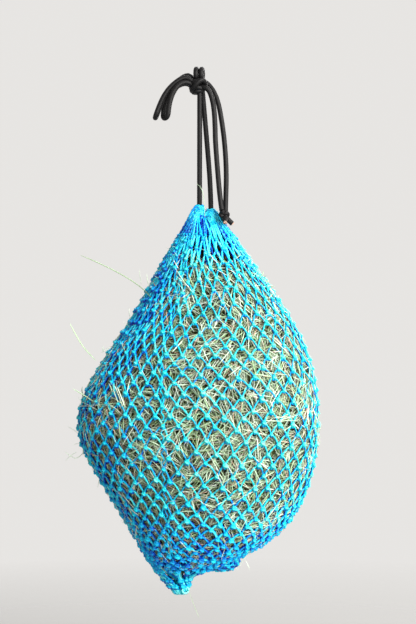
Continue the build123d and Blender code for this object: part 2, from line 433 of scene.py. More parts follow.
def braided(name, lines, radius=CORD_D / 2, closed=False):
    """A piece of braided cord along one line, or several."""
    tubes = []
    for line in lines:
        line = spaced(np.vstack([line, line[:1]]) if closed else line, CORD_STEP)
        if closed:
            line = line[:-1]
        length = line_length(line)
        pitch = length / max(1, round(length / BRAID_PITCH)) if closed else BRAID_PITCH
        tubes.append(tube_mesh(line, radius, 24, braid(pitch), closed))
    vertices, faces, heights = merged(tubes)
    mesh = bpy.data.meshes.new(name)
    mesh.from_pydata(vertices, [], faces)
    mesh.attributes.new("braid", "FLOAT", "POINT").data.foreach_set("value", np.array(heights, np.float32))
    mesh.shade_smooth()
    mesh.materials.append(CORD)
    return new_piece(name, mesh)


# ------------------------------------------------------- geometry node trees


def start_tree(name, numbers, **others):
    """A Geometry Nodes tree with inputs for numbers, for others of a stated kind and for a material: its
    graph, and its input wires by name."""
    inputs = {**dict.fromkeys(numbers, "Float"), **others, "Material": "Material"}
    tree = bpy.data.node_groups.new(name, "GeometryNodeTree")
    tree.interface.new_socket("Geometry", in_out="OUTPUT", socket_type="NodeSocketGeometry")
    tree.interface.new_socket("Geometry", in_out="INPUT", socket_type="NodeSocketGeometry")
    for label, kind in inputs.items():
        tree.interface.new_socket(label, in_out="INPUT", socket_type="NodeSocket" + kind)
    graph = Graph(tree)
    node = tree.nodes.new("NodeGroupInput")
    return graph, {s.name: Wire(graph, s) for s in node.outputs if s.name}


def end_tree(graph, geometry, material):
    """Realizes what the tree made, smooths it and gives it its material."""
    real = graph.add("GeometryNodeRealizeInstances", {}, {"Geometry": geometry})
    smooth = graph.add("GeometryNodeSetShadeSmooth", {}, {"Geometry": real})
    dressed = graph.add("GeometryNodeSetMaterial", {}, {"Geometry": smooth, "Material": material})
    out = graph.tree.nodes.new("NodeGroupOutput")
    graph.tree.links.new(dressed.output, out.inputs[0])
    return graph.tree


def grow(name, mesh, tree, inputs):
    """Runs a tree on a mesh and leaves the plain mesh that it makes, as a new piece."""
    piece = new_piece(name, mesh)
    modifier = piece.modifiers.new("grow", "NODES")
    modifier.node_group = tree
    for item in tree.interface.items_tree:
        if item.in_out == "INPUT" and item.name in inputs:
            modifier[item.identifier] = inputs[item.name]
    evaluated = piece.evaluated_get(bpy.context.evaluated_depsgraph_get())
    plain = bpy.data.meshes.new_from_object(evaluated)
    piece.modifiers.clear()
    piece.data = plain
    plain.name = name
    bpy.data.meshes.remove(mesh)
    return piece


def store(graph, geometry, name, kind, value, domain="POINT"):
    return graph.add(
        "GeometryNodeStoreNamedAttribute",
        {"data_type": kind, "domain": domain},
        {"Geometry": geometry, "Name": name, "Value": value},
    )


def named(graph, name, kind="FLOAT"):
    return graph.add("GeometryNodeInputNamedAttribute", {"data_type": kind}, {"Name": name}, "Attribute")


def random_share(graph, low, high, seed):
    sockets = {"Min": low, "Max": high, "Seed": seed}
    return graph.add("FunctionNodeRandomValue", {"data_type": "FLOAT"}, sockets)


def vector_maths(graph, operation, *values, output=0):
    return graph.add("ShaderNodeVectorMath", {"operation": operation}, dict(enumerate(values)), output)


def scaled(graph, vector, factor):
    wire = vector_maths(graph, "SCALE", vector)
    graph.fill(wire.output.node.inputs["Scale"], factor)
    return wire


def rotated(graph, rotation, euler):
    """A rotation with another one done first, in its own axes."""
    return graph.add(
        "FunctionNodeRotateRotation",
        {"rotation_space": "LOCAL"},
        {"Rotation": rotation, "Rotate By": graph.add("FunctionNodeEulerToRotation", {}, {"Euler": euler})},
    )


def position(graph):
    return graph.add("GeometryNodeInputPosition")


def smooth_curves(graph, given):
    """The mesh's edges as smooth curves, with a point at each step."""
    curves = graph.add("GeometryNodeMeshToCurve", {}, {"Mesh": given["Geometry"]})
    curves = graph.add("GeometryNodeCurveSplineType", {"spline_type": "CATMULL_ROM"}, {"Curve": curves})
    sockets = {"Curve": curves, "Length": given["Step"]}
    return graph.add("GeometryNodeResampleCurve", {"mode": "LENGTH"}, sockets)


def twine_tree():
    """Twisted twine along every line of a mesh, and a knot on every point with a knot size."""
    numbers = ("Twine diameter", "Twist pitch", "Step")
    graph, given = start_tree("netting", numbers, Knot="Object", Seed="Int")
    lines = smooth_curves(graph, given)
    travelled = graph.add("GeometryNodeSplineParameter", {}, {}, "Length")
    lines = store(graph, lines, "tone", "FLOAT", random_share(graph, 0, 1, given["Seed"]), "CURVE")
    lines = store(graph, lines, "core", "FLOAT_VECTOR", position(graph))
    lines = store(graph, lines, "spread", "FLOAT", 1.0)
    twist = travelled / given["Twist pitch"] * tau + named(graph, "tone") * tau
    lines = graph.add("GeometryNodeSetCurveTilt", {}, {"Curve": lines, "Tilt": twist})
    radius = given["Twine diameter"] / 2
    profile = graph.add(
        "GeometryNodeCurveStar", {}, {"Points": 3, "Inner Radius": radius * 0.8, "Outer Radius": radius * 1.1}
    )
    bars = graph.add(
        "GeometryNodeCurveToMesh",
        {},
        {"Curve": lines, "Profile Curve": profile, "Scale": named(graph, "width"), "Fill Caps": True},
    )
    size = named(graph, "knot")
    marked = size.maths("GREATER_THAN", size, 0.01)
    turned = graph.add(
        "FunctionNodeAxesToRotation",
        {"primary_axis": "Z", "secondary_axis": "Y"},
        {"Primary Axis": named(graph, "facing", "FLOAT_VECTOR"), "Secondary Axis": (0, 0, 1)},
    )
    spin = graph.add("ShaderNodeCombineXYZ", {}, {"Z": random_share(graph, -0.35, 0.35, 3)})
    turned = rotated(graph, turned, spin)
    points = store(graph, given["Geometry"], "core", "FLOAT_VECTOR", position(graph))
    points = store(graph, points, "tone", "FLOAT", random_share(graph, 0.25, 0.75, 8))
    points = store(graph, points, "spread", "FLOAT", size * 3.0)
    form = graph.add("GeometryNodeObjectInfo", {}, {"Object": given["Knot"]}, "Geometry")
    knots = graph.add(
        "GeometryNodeInstanceOnPoints",
        {},
        {
            "Points": points,
            "Selection": marked,
            "Instance": form,
            "Rotation": turned,
            "Scale": size * given["Twine diameter"],
        },
    )
    knots = graph.add("GeometryNodeRealizeInstances", {}, {"Geometry": knots})
    both = graph.add("GeometryNodeJoinGeometry", {}, {"Geometry": [bars, knots]})
    # The outward value is taken towards the key lamp, up and to the right of each strand's facing: the finish
    # turns it into painted light on the lit side and painted shade underneath, in the twist and towards the
    # hay.
    offset = vector_maths(graph, "SUBTRACT", position(graph), named(graph, "core", "FLOAT_VECTOR"))
    lit_way = vector_maths(graph, "ADD", named(graph, "facing", "FLOAT_VECTOR"), (0.1, 0.0, 0.2))
    reach = vector_maths(graph, "DOT_PRODUCT", offset, lit_way, output="Value")
    both = store(graph, both, "outward", "FLOAT", reach / (radius * named(graph, "spread")))
    return end_tree(graph, both, given["Material"])


def stem_mesh(graph, lines, width, slim):
    """Flat stems along lines, which taper to their ends."""
    share = graph.add("GeometryNodeSplineParameter", {}, {}, "Factor")
    taper = 1 - ((share * 2 - 1) * (share * 2 - 1)) ** 3 * 0.7
    profile = graph.add("GeometryNodeCurvePrimitiveCircle", {}, {"Resolution": 3, "Radius": width / 2})
    profile = graph.add("GeometryNodeTransform", {}, {"Geometry": profile, "Scale": (1, slim, 1)})
    return graph.add(
        "GeometryNodeCurveToMesh",
        {},
        {"Curve": lines, "Profile Curve": profile, "Scale": named(graph, "width") * taper, "Fill Caps": True},
    )


def hay_tree():
    """Stems scattered over a surface, lying nearly flat on it in every direction."""
    numbers = ("Density", "Length", "Width", "Lowest", "Highest", "Lean", "Bend")
    graph, given = start_tree("hay", numbers, Seed="Int")
    seed = given["Seed"]
    spread = graph.tree.nodes.new("GeometryNodeDistributePointsOnFaces")
    graph.fill(spread.inputs["Mesh"], given["Geometry"])
    height = graph.add("ShaderNodeSeparateXYZ", {}, {"Vector": position(graph)}, "Z")
    below_mouth = ((HAY_SHOWS_Z - height) / HAY_FADE_TOP).clamped()
    above_base = ((height - HAY_ENDS_Z) / HAY_FADE_BASE).clamped()
    graph.fill(spread.inputs["Density"], given["Density"] * below_mouth * above_base)
    graph.fill(spread.inputs["Seed"], seed)
    outward = Wire(graph, spread.outputs["Normal"])
    points = Wire(graph, spread.outputs["Points"])
    rise = given["Lowest"] + random_share(graph, 0, 1, seed + 1) * (given["Highest"] - given["Lowest"])
    # How deep each stem lies, kept for the painted shade in its finish.
    points = store(graph, points, "depth", "FLOAT", (1 - rise / HAY_DEPTH).clamped())
    points = store(graph, points, "tone", "FLOAT", random_share(graph, 0, 1, seed + 2))
    points = store(graph, points, "width", "FLOAT", random_share(graph, 0.45, 1.6, seed + 3))
    points = store(graph, points, "own", "FLOAT", random_share(graph, 0, 50, seed + 4))
    raised = scaled(graph, outward, rise)
    points = graph.add("GeometryNodeSetPosition", {}, {"Geometry": points, "Offset": raised})
    lock = graph.noise(position(graph), 30, 1) * 14
    turn = graph.add(
        "ShaderNodeCombineXYZ",
        {},
        {
            "Y": random_share(graph, -1, 1, seed + 5) * given["Lean"],
            "Z": lock + random_share(graph, -0.75, 0.75, seed + 6),
        },
    )
    turned = rotated(graph, Wire(graph, spread.outputs["Rotation"]), turn)
    stem = graph.add("GeometryNodeCurvePrimitiveLine", {}, {"Start": (-0.5, 0, 0), "End": (0.5, 0, 0)})
    stem = graph.add("GeometryNodeResampleCurve", {"mode": "COUNT"}, {"Curve": stem, "Count": 5})
    long = random_share(graph, 0.35, 1.3, seed + 7) * given["Length"]
    size = graph.add("ShaderNodeCombineXYZ", {}, {"X": long, "Y": 1, "Z": 1})
    stems = graph.add(
        "GeometryNodeInstanceOnPoints",
        {},
        {"Points": points, "Instance": stem, "Rotation": turned, "Scale": size},
    )
    stems = graph.add("GeometryNodeRealizeInstances", {}, {"Geometry": stems})
    own = named(graph, "own")
    wave = graph.add(
        "ShaderNodeTexNoise",
        {"noise_dimensions": "4D"},
        {"Vector": position(graph), "W": own, "Scale": 38, "Detail": 1},
        "Color",
    )
    wave = vector_maths(graph, "SUBTRACT", wave, (0.5, 0.5, 0.5))
    pushed = scaled(graph, wave, given["Bend"])
    stems = graph.add("GeometryNodeSetPosition", {}, {"Geometry": stems, "Offset": pushed})
    stems = graph.add("GeometryNodeSetCurveTilt", {}, {"Curve": stems, "Tilt": own})
    made = stem_mesh(graph, stems, given["Width"], 0.5)
    return end_tree(graph, made, given["Material"])


def stray_tree():
    """Stems along the lines of a mesh."""
    graph, given = start_tree("strays", ("Width", "Step"))
    lines = smooth_curves(graph, given)
    made = stem_mesh(graph, lines, given["Width"], 0.6)
    return end_tree(graph, made, given["Material"])


class Strands:
    """Lines of twine or hay, gathered into one mesh of edges for a tree to follow."""

    def __init__(self):
        self.points, self.edges = [], []
        self.values = {name: [] for name in ("facing", "knot", "width", "crowd", "tone", "depth")}

    # A painted shade above 0 darkens a strand's twine in its finish, and one below 0 lightens it as painted
    # light.
    def point(self, place, facing, knot=0.0, width=1.0, crowd=0.0, tone=0.5, depth=0.0):
        self.points.append(tuple(place))
        for name, value in zip(self.values, (tuple(facing), knot, width, crowd, tone, depth)):
            self.values[name].append(value)

    def line(self, places, facings, closed=False, **more):
        first = len(self.points)
        for place, facing in zip(places, facings):
            self.point(place, facing, **more)
        last = len(self.points) - 1
        self.edges += [(i, i + 1) for i in range(first, last)]
        if closed:
            self.edges.append((last, first))

    def mesh(self, name):
        mesh = bpy.data.meshes.new(name)
        mesh.from_pydata(self.points, self.edges, [])
        for label, values in self.values.items():
            kind = "FLOAT_VECTOR" if label == "facing" else "FLOAT"
            data = mesh.attributes.new(label, kind, "POINT").data
            data.foreach_set("vector" if label == "facing" else "value", np.array(values, np.float32).ravel())
        return mesh


# --------------------------------------------------------------- bag's form


class Bag:
    """The netting's outer form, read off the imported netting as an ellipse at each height."""

    LEVELS = 180
    EDGE = 0.2 * MM  # kept clear of the rims

    def __init__(self):
        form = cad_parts["net_body"].data
        tree = BVHTree.FromPolygons([v.co for v in form.vertices], [p.vertices for p in form.polygons])
        low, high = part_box("net_body")
        self.z = np.linspace(low.z + self.EDGE, high.z - self.EDGE, self.LEVELS)
        self.middle, self.half_w, self.half_d = [], [], []
        for z in self.z:
            left = tree.ray_cast((-1, 0, z), (1, 0, 0))[0].x
            right = tree.ray_cast((1, 0, z), (-1, 0, 0))[0].x
            middle = (left + right) / 2
            front = tree.ray_cast((middle, -1, z), (0, 1, 0))[0].y
            self.middle.append(middle)
            self.half_w.append((right - left) / 2)
            self.half_d.append(-front)
        self.slopes = [np.gradient(np.array(v), self.z) for v in (self.middle, self.half_w, self.half_d)]
        self.top, self.bottom = self.z[-1], self.z[0]

    def section(self, z):
        return [np.interp(z, self.z, v) for v in (self.middle, self.half_w, self.half_d)]

    def place(self, angle, z, lift=0.0):
        """Points and normals at angles from the front, at heights, that far outside the form."""
        angle, z = np.broadcast_arrays(np.asarray(angle, float), np.asarray(z, float))
        middle, half_w, half_d = self.section(z)
        slope_m, slope_w, slope_d = (np.interp(z, self.z, v) for v in self.slopes)
        point = np.stack([middle + half_w * np.sin(angle), -half_d * np.cos(angle), z], axis=-1)
        round_bag = np.stack([half_w * np.cos(angle), half_d * np.sin(angle), np.zeros_like(z)], axis=-1)
        upward = [slope_m + slope_w * np.sin(angle), -slope_d * np.cos(angle), np.ones_like(z)]
        upward = np.stack(upward, axis=-1)
        normal = np.cross(round_bag, upward)
        normal /= np.linalg.norm(normal, axis=-1, keepdims=True)
        return point + normal * np.asarray(lift)[..., None], normal

    def front_y(self, x, z):
        """How far forward the form is at x and z, or at its edge for an x beyond it."""
        middle, half_w, half_d = self.section(z)
        across = np.clip((x - middle) / half_w, -0.98, 0.98)
        return -half_d * np.sqrt(1 - across**2)


def wrapped(angle):
    """The same angle, from -pi to pi."""
    return (angle + pi) % tau - pi


def from_seam(column):
    """How many meshes a column is right of the seam, by the nearer way: less than 0 is left of it."""
    return (np.asarray(column) + MESHES_ROUND / 2) % MESHES_ROUND - MESHES_ROUND / 2


class Weave:
    """Where the netting's knots lie: c counts meshes round the bag from the seam, r half rows down it."""

    STEPS = 8  # samples in each mesh's width

    def __init__(self, bag):
        self.bag = bag
        self.heights = np.linspace(FIRST_ROW_Z, LAST_ROW_Z, 200)
        self.c_grid = np.arange(MESHES_ROUND * self.STEPS + 1) / self.STEPS
        self.seam = self.seam_angles()
        self.turned = self.angle_table()
        self.rows, self.row_table = self.row_heights()

    def share_down(self, z):
        return (self.bag.top - z) / (self.bag.top - self.bag.bottom)

    def seam_angles(self):
        """The seam's angle from the front at each height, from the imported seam."""
        seam = np.array([v.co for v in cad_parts["side_seam"].data.vertices])
        angles = []
        for z in self.heights:
            near = np.exp(-(((seam[:, 2] - z) / (7 * MM)) ** 2))
            x = (seam[:, 0] * near).sum() / max(near.sum(), 1e-9)
            middle, half_w, _ = self.bag.section(z)
            angles.append(np.arcsin(np.clip((x - middle) / half_w, -0.9, 0.9)))
        return np.convolve(np.pad(angles, 12, mode="edge"), np.ones(25) / 25, mode="valid")

    def mesh_widths(self, c):
        """How wide the meshes are round the bag, by height and by place: bunched left of the seam, most of
        all near the mouth, open right of it there, and a little narrower at the seam itself."""
        apart = from_seam(c)
        down = self.share_down(self.heights)[:, None]
        upper = np.clip((0.55 - down) / 0.25, 0, 1)
        squeeze = np.interp(down, [0.3, 0.5, 0.8, 1], [0.38, 0.12, 0.06, 0.06])
        bunched = np.exp(-(((apart - BUNCHED_AT) / 4.2) ** 2))
        opened = np.exp(-(((apart - OPEN_AT) / 4.5) ** 2))
        seam = np.exp(-((apart / 0.5) ** 4))
        return (1 - squeeze * bunched + 0.22 * upper * opened) * (1 - SEAM_NARROWING * seam)

    def angle_table(self):
        """Each column's angle at each height. The columns are shared out by the distance round the bag;
        low down they hang from where they were, so that they crowd at its sides."""
        widths = self.mesh_widths((self.c_grid[:-1] + self.c_grid[1:]) / 2)
        shares = np.concatenate([np.zeros((len(self.heights), 1)), np.cumsum(widths, axis=1)], axis=1)
        shares /= shares[:, -1:]
        turn = np.linspace(0, tau, 721)
        table = []
        for z, seam, share in zip(self.heights, self.seam, shares):
            middle, half_w, half_d = self.bag.section(z)
            if z >= HANG_Z or not table:
                angles = seam + turn
                step = np.hypot(half_w * np.cos(angles), half_d * np.sin(angles))
                travelled = np.concatenate([[0], np.cumsum((step[1:] + step[:-1]) / 2)])
                row = np.interp(share, travelled / travelled[-1], angles)
                hung, hung_middle, hung_w = row, middle, half_w
            else:
                wider = 1 + (hung_w / half_w - 1) * HANG
                shift = (hung_middle - middle) / half_w * HANG
                row = np.unwrap(np.arctan2(wider * np.sin(hung) + shift, np.cos(hung)))
                near = np.cos(np.clip(wrapped(row - row[0]), -pi / 2, pi / 2)) ** 2
                row = row + (seam - row[0]) * near
            table.append(row)
        return np.array(table)

    def angle(self, c, z):
        """The angle from the front of column c at height z."""
        c = np.asarray(c, float)
        turns = np.floor(c / MESHES_ROUND)
        column = (c - turns * MESHES_ROUND) * self.STEPS
        level = np.clip((FIRST_ROW_Z - z) / (FIRST_ROW_Z - LAST_ROW_Z), 0, 1) * (len(self.heights) - 1)
        i = np.minimum(column.astype(int), len(self.c_grid) - 2)
        j = np.minimum(level.astype(int), len(self.heights) - 2)
        u, v = column - i, level - j
        table = self.turned
        above = table[j, i] * (1 - u) + table[j, i + 1] * u
        below = table[j + 1, i] * (1 - u) + table[j + 1, i + 1] * u
        return above * (1 - v) + below * v + turns * tau

    def row_heights(self):
        """The number of half rows, and a table of heights by column and row: rows are closer where the
        meshes are pulled wide, because every bar has the same length, and low down, where they are slack."""
        columns = np.arange(0, MESHES_ROUND, 0.5)
        slack = np.interp(-self.heights, [430 * MM, 470 * MM, 505 * MM, 541 * MM], [1, 0.86, 0.7, 0.54])
        shortest = SHORTEST_DROP * BAR_LENGTH
        counts = []
        for c in columns:
            path, left, right = (
                self.bag.place(self.angle(c + step, self.heights), self.heights)[0] for step in (0, -0.5, 0.5)
            )
            half_width = np.linalg.norm(right - left, axis=1) / 2
            drop = np.sqrt(np.maximum(BAR_LENGTH**2 - half_width**2, shortest**2)) * slack
            steps = np.linalg.norm(np.diff(path, axis=0), axis=1)
            counts.append(np.concatenate([[0], np.cumsum(steps / (drop[1:] + drop[:-1]) * 2)]))
        counts = np.array(counts)
        padded = np.concatenate([counts[-6:], counts, counts[:6]])
        counts = sum(padded[k : k + len(columns)] for k in range(13)) / 13
        rows = round(np.median(counts[:, -1]))
        counts = counts / counts[:, -1:] * rows
        table = np.array([np.interp(np.arange(rows + 1), count, self.heights) for count in counts])
        return rows, table

    def height(self, c, r):
        """The height at column c and half row r, both of which may be fractions."""
        column = np.asarray(c, float) % MESHES_ROUND * 2
        r = np.clip(np.asarray(r, float), 0, self.rows)
        i, j = column.astype(int) % len(self.row_table), np.minimum(r.astype(int), self.rows - 1)
        u, v = column - np.floor(column), r - j
        after = (i + 1) % len(self.row_table)
        table = self.row_table
        return (table[i, j] * (1 - u) + table[after, j] * u) * (1 - v) + (
            table[i, j + 1] * (1 - u) + table[after, j + 1] * u
        ) * v

    def place(self, c, r, lift):
        z = self.height(c, r)
        return self.bag.place(self.angle(c, z), z, lift)

    def crowding(self, c, r):
        """From 0 to 1, how bunched the meshes are there."""
        down = self.share_down(self.height(c, r))
        side = np.exp(-(((from_seam(c) - BUNCHED_AT) / 4.6) ** 2))
        side = side * np.interp(down, [0.22, 0.5, 0.9], [1, 0.5, 0.5])
        ends = np.clip((0.16 - down) / 0.1, 0, 1) * 0.7 + np.clip((down - 0.72) / 0.2, 0, 1) * 0.9
        return np.maximum(side, ends)


# ------------------------------------------------------------------ netting


def knot_form():
    """A netting knot in twine diameters: a bight from below, and a turn round its neck."""
    bight = [
        (-0.42, -1.15, -0.1), (-0.5, -0.2, 0.3), (-0.28, 0.75, 0.35),
        (0.28, 0.75, 0.35), (0.5, -0.2, 0.3), (0.42, -1.15, -0.1),
    ]
    turn = [
        (-0.3, 0.1, -0.55), (-0.8, 0.2, 0.0), (-0.55, 0.0, 0.7),
        (0.55, -0.3, 0.75), (0.8, -0.2, 0.0), (0.3, 0.0, -0.55),
    ]
    slimmer = (0.88, 1.14, 1)
    tubes = [tube_mesh(np.array(line) * slimmer, radius, 5) for line, radius in ((bight, 0.44), (turn, 0.46))]
    vertices, faces, _ = merged(tubes)
    mesh = bpy.data.meshes.new("knot_form")
    mesh.from_pydata(vertices, [], faces)
    return bpy.data.objects.new("knot_form", mesh)


def knot_places(weave, rng):
    """Each knot's column and row, with the unevenness of a used net."""
    rows, columns = np.meshgrid(np.arange(weave.rows + 1), np.arange(MESHES_ROUND), indexing="ij")
    c = columns + (rows % 2) * 0.5
    down = rows / weave.rows
    loose = 0.07 + 0.4 * np.clip((0.16 - down) / 0.16, 0, 1) + 0.2 * np.clip((down - 0.8) / 0.2, 0, 1)
    # Each wave's count round the bag, its shift with each row, its start and its size in meshes.
    waves = ((2, 0.21, 1.0, 0.16), (3, -0.33, 2.2, 0.12), (5, 0.5, 0.4, 0.08), (8, -0.9, 3.1, 0.06))
    swell = sum(np.sin(c * a * tau / MESHES_ROUND + rows * b + p) * s for a, b, p, s in waves)
    c = c + rng.normal(0, 0.055, c.shape) + swell * 0.35
    below_top, above_end = np.clip(rows / 4, 0, 1), np.clip((weave.rows - rows) / 4, 0, 1)
    r = rows + rng.normal(0, 1, c.shape) * loose + swell * below_top * above_end
    return c, np.clip(r, -0.9, weave.rows)


def dress(piece, body, slot, *stands_for):
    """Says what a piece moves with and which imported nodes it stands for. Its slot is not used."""
    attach(piece, body)
    if stands_for:
        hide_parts(*stands_for)


def twine_piece(name, strands, seed, slot, *stands_for, knot=None):
    """Grows twine along strands, as a piece that moves with the bag."""
    inputs = {**TWINE_INPUTS, "Seed": seed}
    if knot:
        inputs["Knot"] = knot
    piece = grow(name, strands.mesh(name), TWINE_TREE, inputs)
    dress(piece, "bag", slot, *stands_for)


def facing_out(line, x, lean):
    """For each point of a line, the way out from the upright axis at x and y = 0, leaning up by lean."""
    return [tuple(Vector((px - x, py, lean)).normalized()) for px, py, _ in line]


def add_row(strands, rng, weave, c, r, row):
    """A half row of knots and the bars down from them, backed by slack twine where the meshes crowd."""
    low = np.interp(row / weave.rows, [0.6, 0.9], [0, 1])
    shift = 1 if row % 2 else -1
    backed_from = np.interp(row, [0, weave.rows], [0.4, 0.62])
    for i in range(MESHES_ROUND):
        lift = (-0.5 + 0.9 * (rng.random() - 0.5)) * MM
        place, normal = weave.place(c[row, i], r[row, i], lift)
        crowd = float(weave.crowding(c[row, i], r[row, i]))
        size = (1.0 if row % 2 else SMALL_KNOT) * (0.94 + 0.12 * crowd + 0.06 * low) * KNOT_SIZE
        size *= np.interp(row, [0, 4], [0.7, 1])
        size *= rng.uniform(0.88, 1.1)
        # Knots take a negative painted shade, a painted highlight that fades where the meshes crowd.
        strands.point(place, normal, knot=size, crowd=crowd, depth=0.3 * crowd - 0.5)
        if row == weave.rows:
            continue
        for other in (i, (i + shift) % MESHES_ROUND):
            c_end = c[row + 1, other]
            c_end = c_end + MESHES_ROUND * round((c[row, i] - c_end) / MESHES_ROUND)
            across = BAR_POINTS ** (ARCH + 0.12 * (rng.random() - 0.5))
            cs = c[row, i] + (c_end - c[row, i]) * across
            rs = r[row, i] + (r[row + 1, other] - r[row, i]) * BAR_POINTS
            out = (-TWINE_D / 2 + 0.5 * MM * np.sin(pi * BAR_POINTS)) * np.ones(5)
            places, normals = weave.place(cs, rs, out)
            width = rng.uniform(0.75, 0.91) * min(1 + 0.9 * crowd + 0.35 * low, 1.5)
            strands.line(places, normals, width=width, crowd=crowd)
            if crowd - backed_from > rng.random() * 0.5:
                side, drop = rng.uniform(0.2, 0.5) * shift, rng.uniform(0.3, 0.8)
                places, normals = weave.place(cs + side, rs + drop, out - BACKING_DEPTH)
                # The slack twine behind is darkened with painted shade.
                strands.line(places, normals, width=rng.uniform(0.9, 1.1), crowd=crowd, depth=0.9)


def netting(weave):
    """The knotted meshes, in bands from the mouth down. Returns the knots' columns and rows."""
    rng = np.random.default_rng(7)
    c, r = knot_places(weave, rng)
    bands = ("netting_mouth", "netting_shoulder", "netting_chest", "netting_belly", "netting_lower")
    knot = knot_form()
    for number, name in enumerate(bands):
        strands = Strands()
        for row in range(weave.rows + 1):
            if row * len(bands) // (weave.rows + 1) == number:
                add_row(strands, rng, weave, c, r, row)
        twine_piece(name, strands, 20 + number, "net_twine", "net_body", knot=knot)
    bpy.data.objects.remove(knot)
    return c, r


# One leg of a loop over a head: the turn round the head in degrees and the drop below the crest in mm.
HEAD_LOOP = ((180, 5.2), (140, 2.7), (95, 0), (56, 2.8), (28, 7))
# Below the head a leg nears the bag's form: heights, and how much of the way it has gone there.
HEAD_TO_BAG = ((-164 * MM, 0.55), (-170 * MM, 0.9))
HEAD_FLARE = 0.31  # how fast a head widens downward
HEAD_LEAN = 0.2  # and leans away from the other one
# Where the fanned strands start: across from the middle between the heads, back and up.
PINCH = (-1.4 * MM, -5.4 * MM, -156.4 * MM)


def head_loop(weave, head, foot, round_bag, away, crest, sunk):
    """The line of one loop: up from the foot, over the head at the crest and back down to the foot."""
    x, top, way = head
    legs = []
    for turn in (-1, 1):
        leg = []
        for degrees, drop in HEAD_LOOP:
            z = crest - drop * MM
            below = top - z
            spread = 3.5 * MM + HEAD_FLARE * below - min(sunk, 0.2 * below)
            centre = x + way * HEAD_LEAN * max(below - 5 * MM, 0)
            angle = away + turn * radians(degrees)
            leg.append(np.array((centre + spread * sin(angle), -spread * cos(angle), z)))
        for z, share_bag in HEAD_TO_BAG:
            if z > leg[-1][2] - 3 * MM:
                continue
            spread = 4.4 * MM + 0.25 * (top - z)
            centre = x + way * HEAD_LEAN * (top - z - 5 * MM)
            head_place = np.array((centre + spread * sin(away), -spread * cos(away), z))
            bag_place = weave.bag.place(round_bag + turn * 0.05, z, -TWINE_D / 2 - sunk * 0.5)[0]
            leg.append(head_place * (1 - share_bag) + bag_place * share_bag)
        leg.append(foot + np.array([cos(round_bag), sin(round_bag), 0]) * turn * 0.8 * MM)
        legs.append([tuple(point) for point in leg])
    return list(reversed(legs[0])) + legs[1][1:]


def add_head_loops(strands, rng, weave, heads, feet, middle):
    """Loops from the highest knots over the nearer head, sunk by different amounts into it."""
    for head in heads:
        x, top, way = head
        own = [(foot, round_bag) for foot, round_bag in feet if (foot[0] - middle) * way > -3.5 * MM]
        own = own + own[::2]
        for (foot, round_bag), share in zip(own, rng.permutation(len(own)) / len(own)):
            from_side = wrapped(round_bag - way * pi / 2)
            away = way * pi / 2 + from_side * 1.7 + rng.uniform(-0.2, 0.2)
            crest = top - TWINE_D / 2 - share * 7 * MM
            sunk = rng.choice([0.0, 0.25, 0.6, 1.5]) * MM
            line = head_loop(weave, head, foot, round_bag, away, crest, sunk)
            width = rng.uniform(0.95, 1.15)
            # Painted shade, more for strands sunk into the head, with a random lighter or darker share.
            depth = sunk / MM * 0.2 + rng.choice([-0.4, -0.1, 0.2, 0.5])
            strands.line(line, facing_out(line, x, 2 * MM), width=width, crowd=0.7, depth=depth)


def add_head_fans(strands, rng, heads, feet, middle):
    """Strands that fan out from between the heads, in nested arcs over the front of each."""
    pinch = np.array((middle + PINCH[0], *PINCH[1:]))
    for x, top, way in heads:
        turned = sorted((wrapped(round_bag * way), tuple(foot)) for foot, round_bag in feet)
        front = [(away, foot) for away, foot in turned if -0.15 < away < 1.6]
        for k in range(2 * len(front) - 1):
            foot = front[(k + 1) // 2][1]
            foot = np.array(foot) + (way * (k % 2 - 0.5) * 1.6 * MM, -0.4 * MM, 0)
            share = k / (2 * len(front) - 2)
            line = [pinch + rng.normal(0, 0.4, 3) * MM]
            if share > 0.12:
                crest_z = pinch[2] + (top - 1.5 * MM - pinch[2]) * share
                crest = np.array((x + way * (3 * share - 1.5) * MM, crest_z))
                beyond = crest + (way * (2.4 + 3 * share) * MM, -4.2 * MM)
                rise = np.array((pinch[0], pinch[2])) * 0.5 + crest * 0.5 + (0, 0.2 * (crest[1] - pinch[2]))
                for px, pz in (rise, crest, beyond):
                    spread = 4.0 * MM + HEAD_FLARE * (top - pz)
                    forward = max(sqrt(max(spread**2 - (px - x) ** 2, 0)), 3.8 * MM)
                    line.append(np.array((px, -forward, pz)))
            line.append((line[-1] + foot) / 2 - (0, 0.8 * MM, 0))
            line.append(foot)
            line = [tuple(point) for point in line]
            # The fanned strands take turns of painted light and painted shade, so that neighbours stand
            # apart.
            depth = (-0.5, 0.4, -0.2, 0.6)[k % 4]
            facings = facing_out(line, x, 2 * MM)
            strands.line(line, facings, width=rng.uniform(0.88, 1.05), crowd=0.7, depth=depth)


def mouth_bunches(weave, c, r):
    """The top meshes, looped over the draw cord's two legs: a head on each, which spreads down and outward
    into the bag, with strands fanned over its front."""
    rng = np.random.default_rng(11)
    strands = Strands()
    heads = []
    for node, way in (("mouth_gather_left", -1), ("mouth_gather_right", 1)):
        low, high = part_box(node)
        heads.append(((low.x + high.x) / 2, high.z, way))
    middle = (heads[0][0] + heads[1][0]) / 2
    feet = []
    for i in range(MESHES_ROUND):
        z = weave.height(c[0, i], r[0, i])
        feet.append((weave.place(c[0, i], r[0, i], -TWINE_D / 2)[0], float(weave.angle(c[0, i], z))))
    add_head_loops(strands, rng, weave, heads, feet, middle)
    add_head_fans(strands, rng, heads, feet, middle)
    twine_piece("mouth_bunches", strands, 31, "net_twine", "mouth_gather_left", "mouth_gather_right")


def seam_lacing(weave):
    """The twine that laces the netting's two edges together down the front."""
    strands = Strands()
    rows = np.arange(0, weave.rows, 0.5)
    even = np.arange(len(rows)) % 2 == 0
    sway = np.where(even, 0.12, -0.12)
    lift = np.where(even, 0.1, -0.9) * MM
    places, normals = weave.place(sway, rows, lift)
    strands.line(places, normals, width=0.74, crowd=0.1)
    twine_piece("seam_lacing", strands, 41, "net_twine", "side_seam")


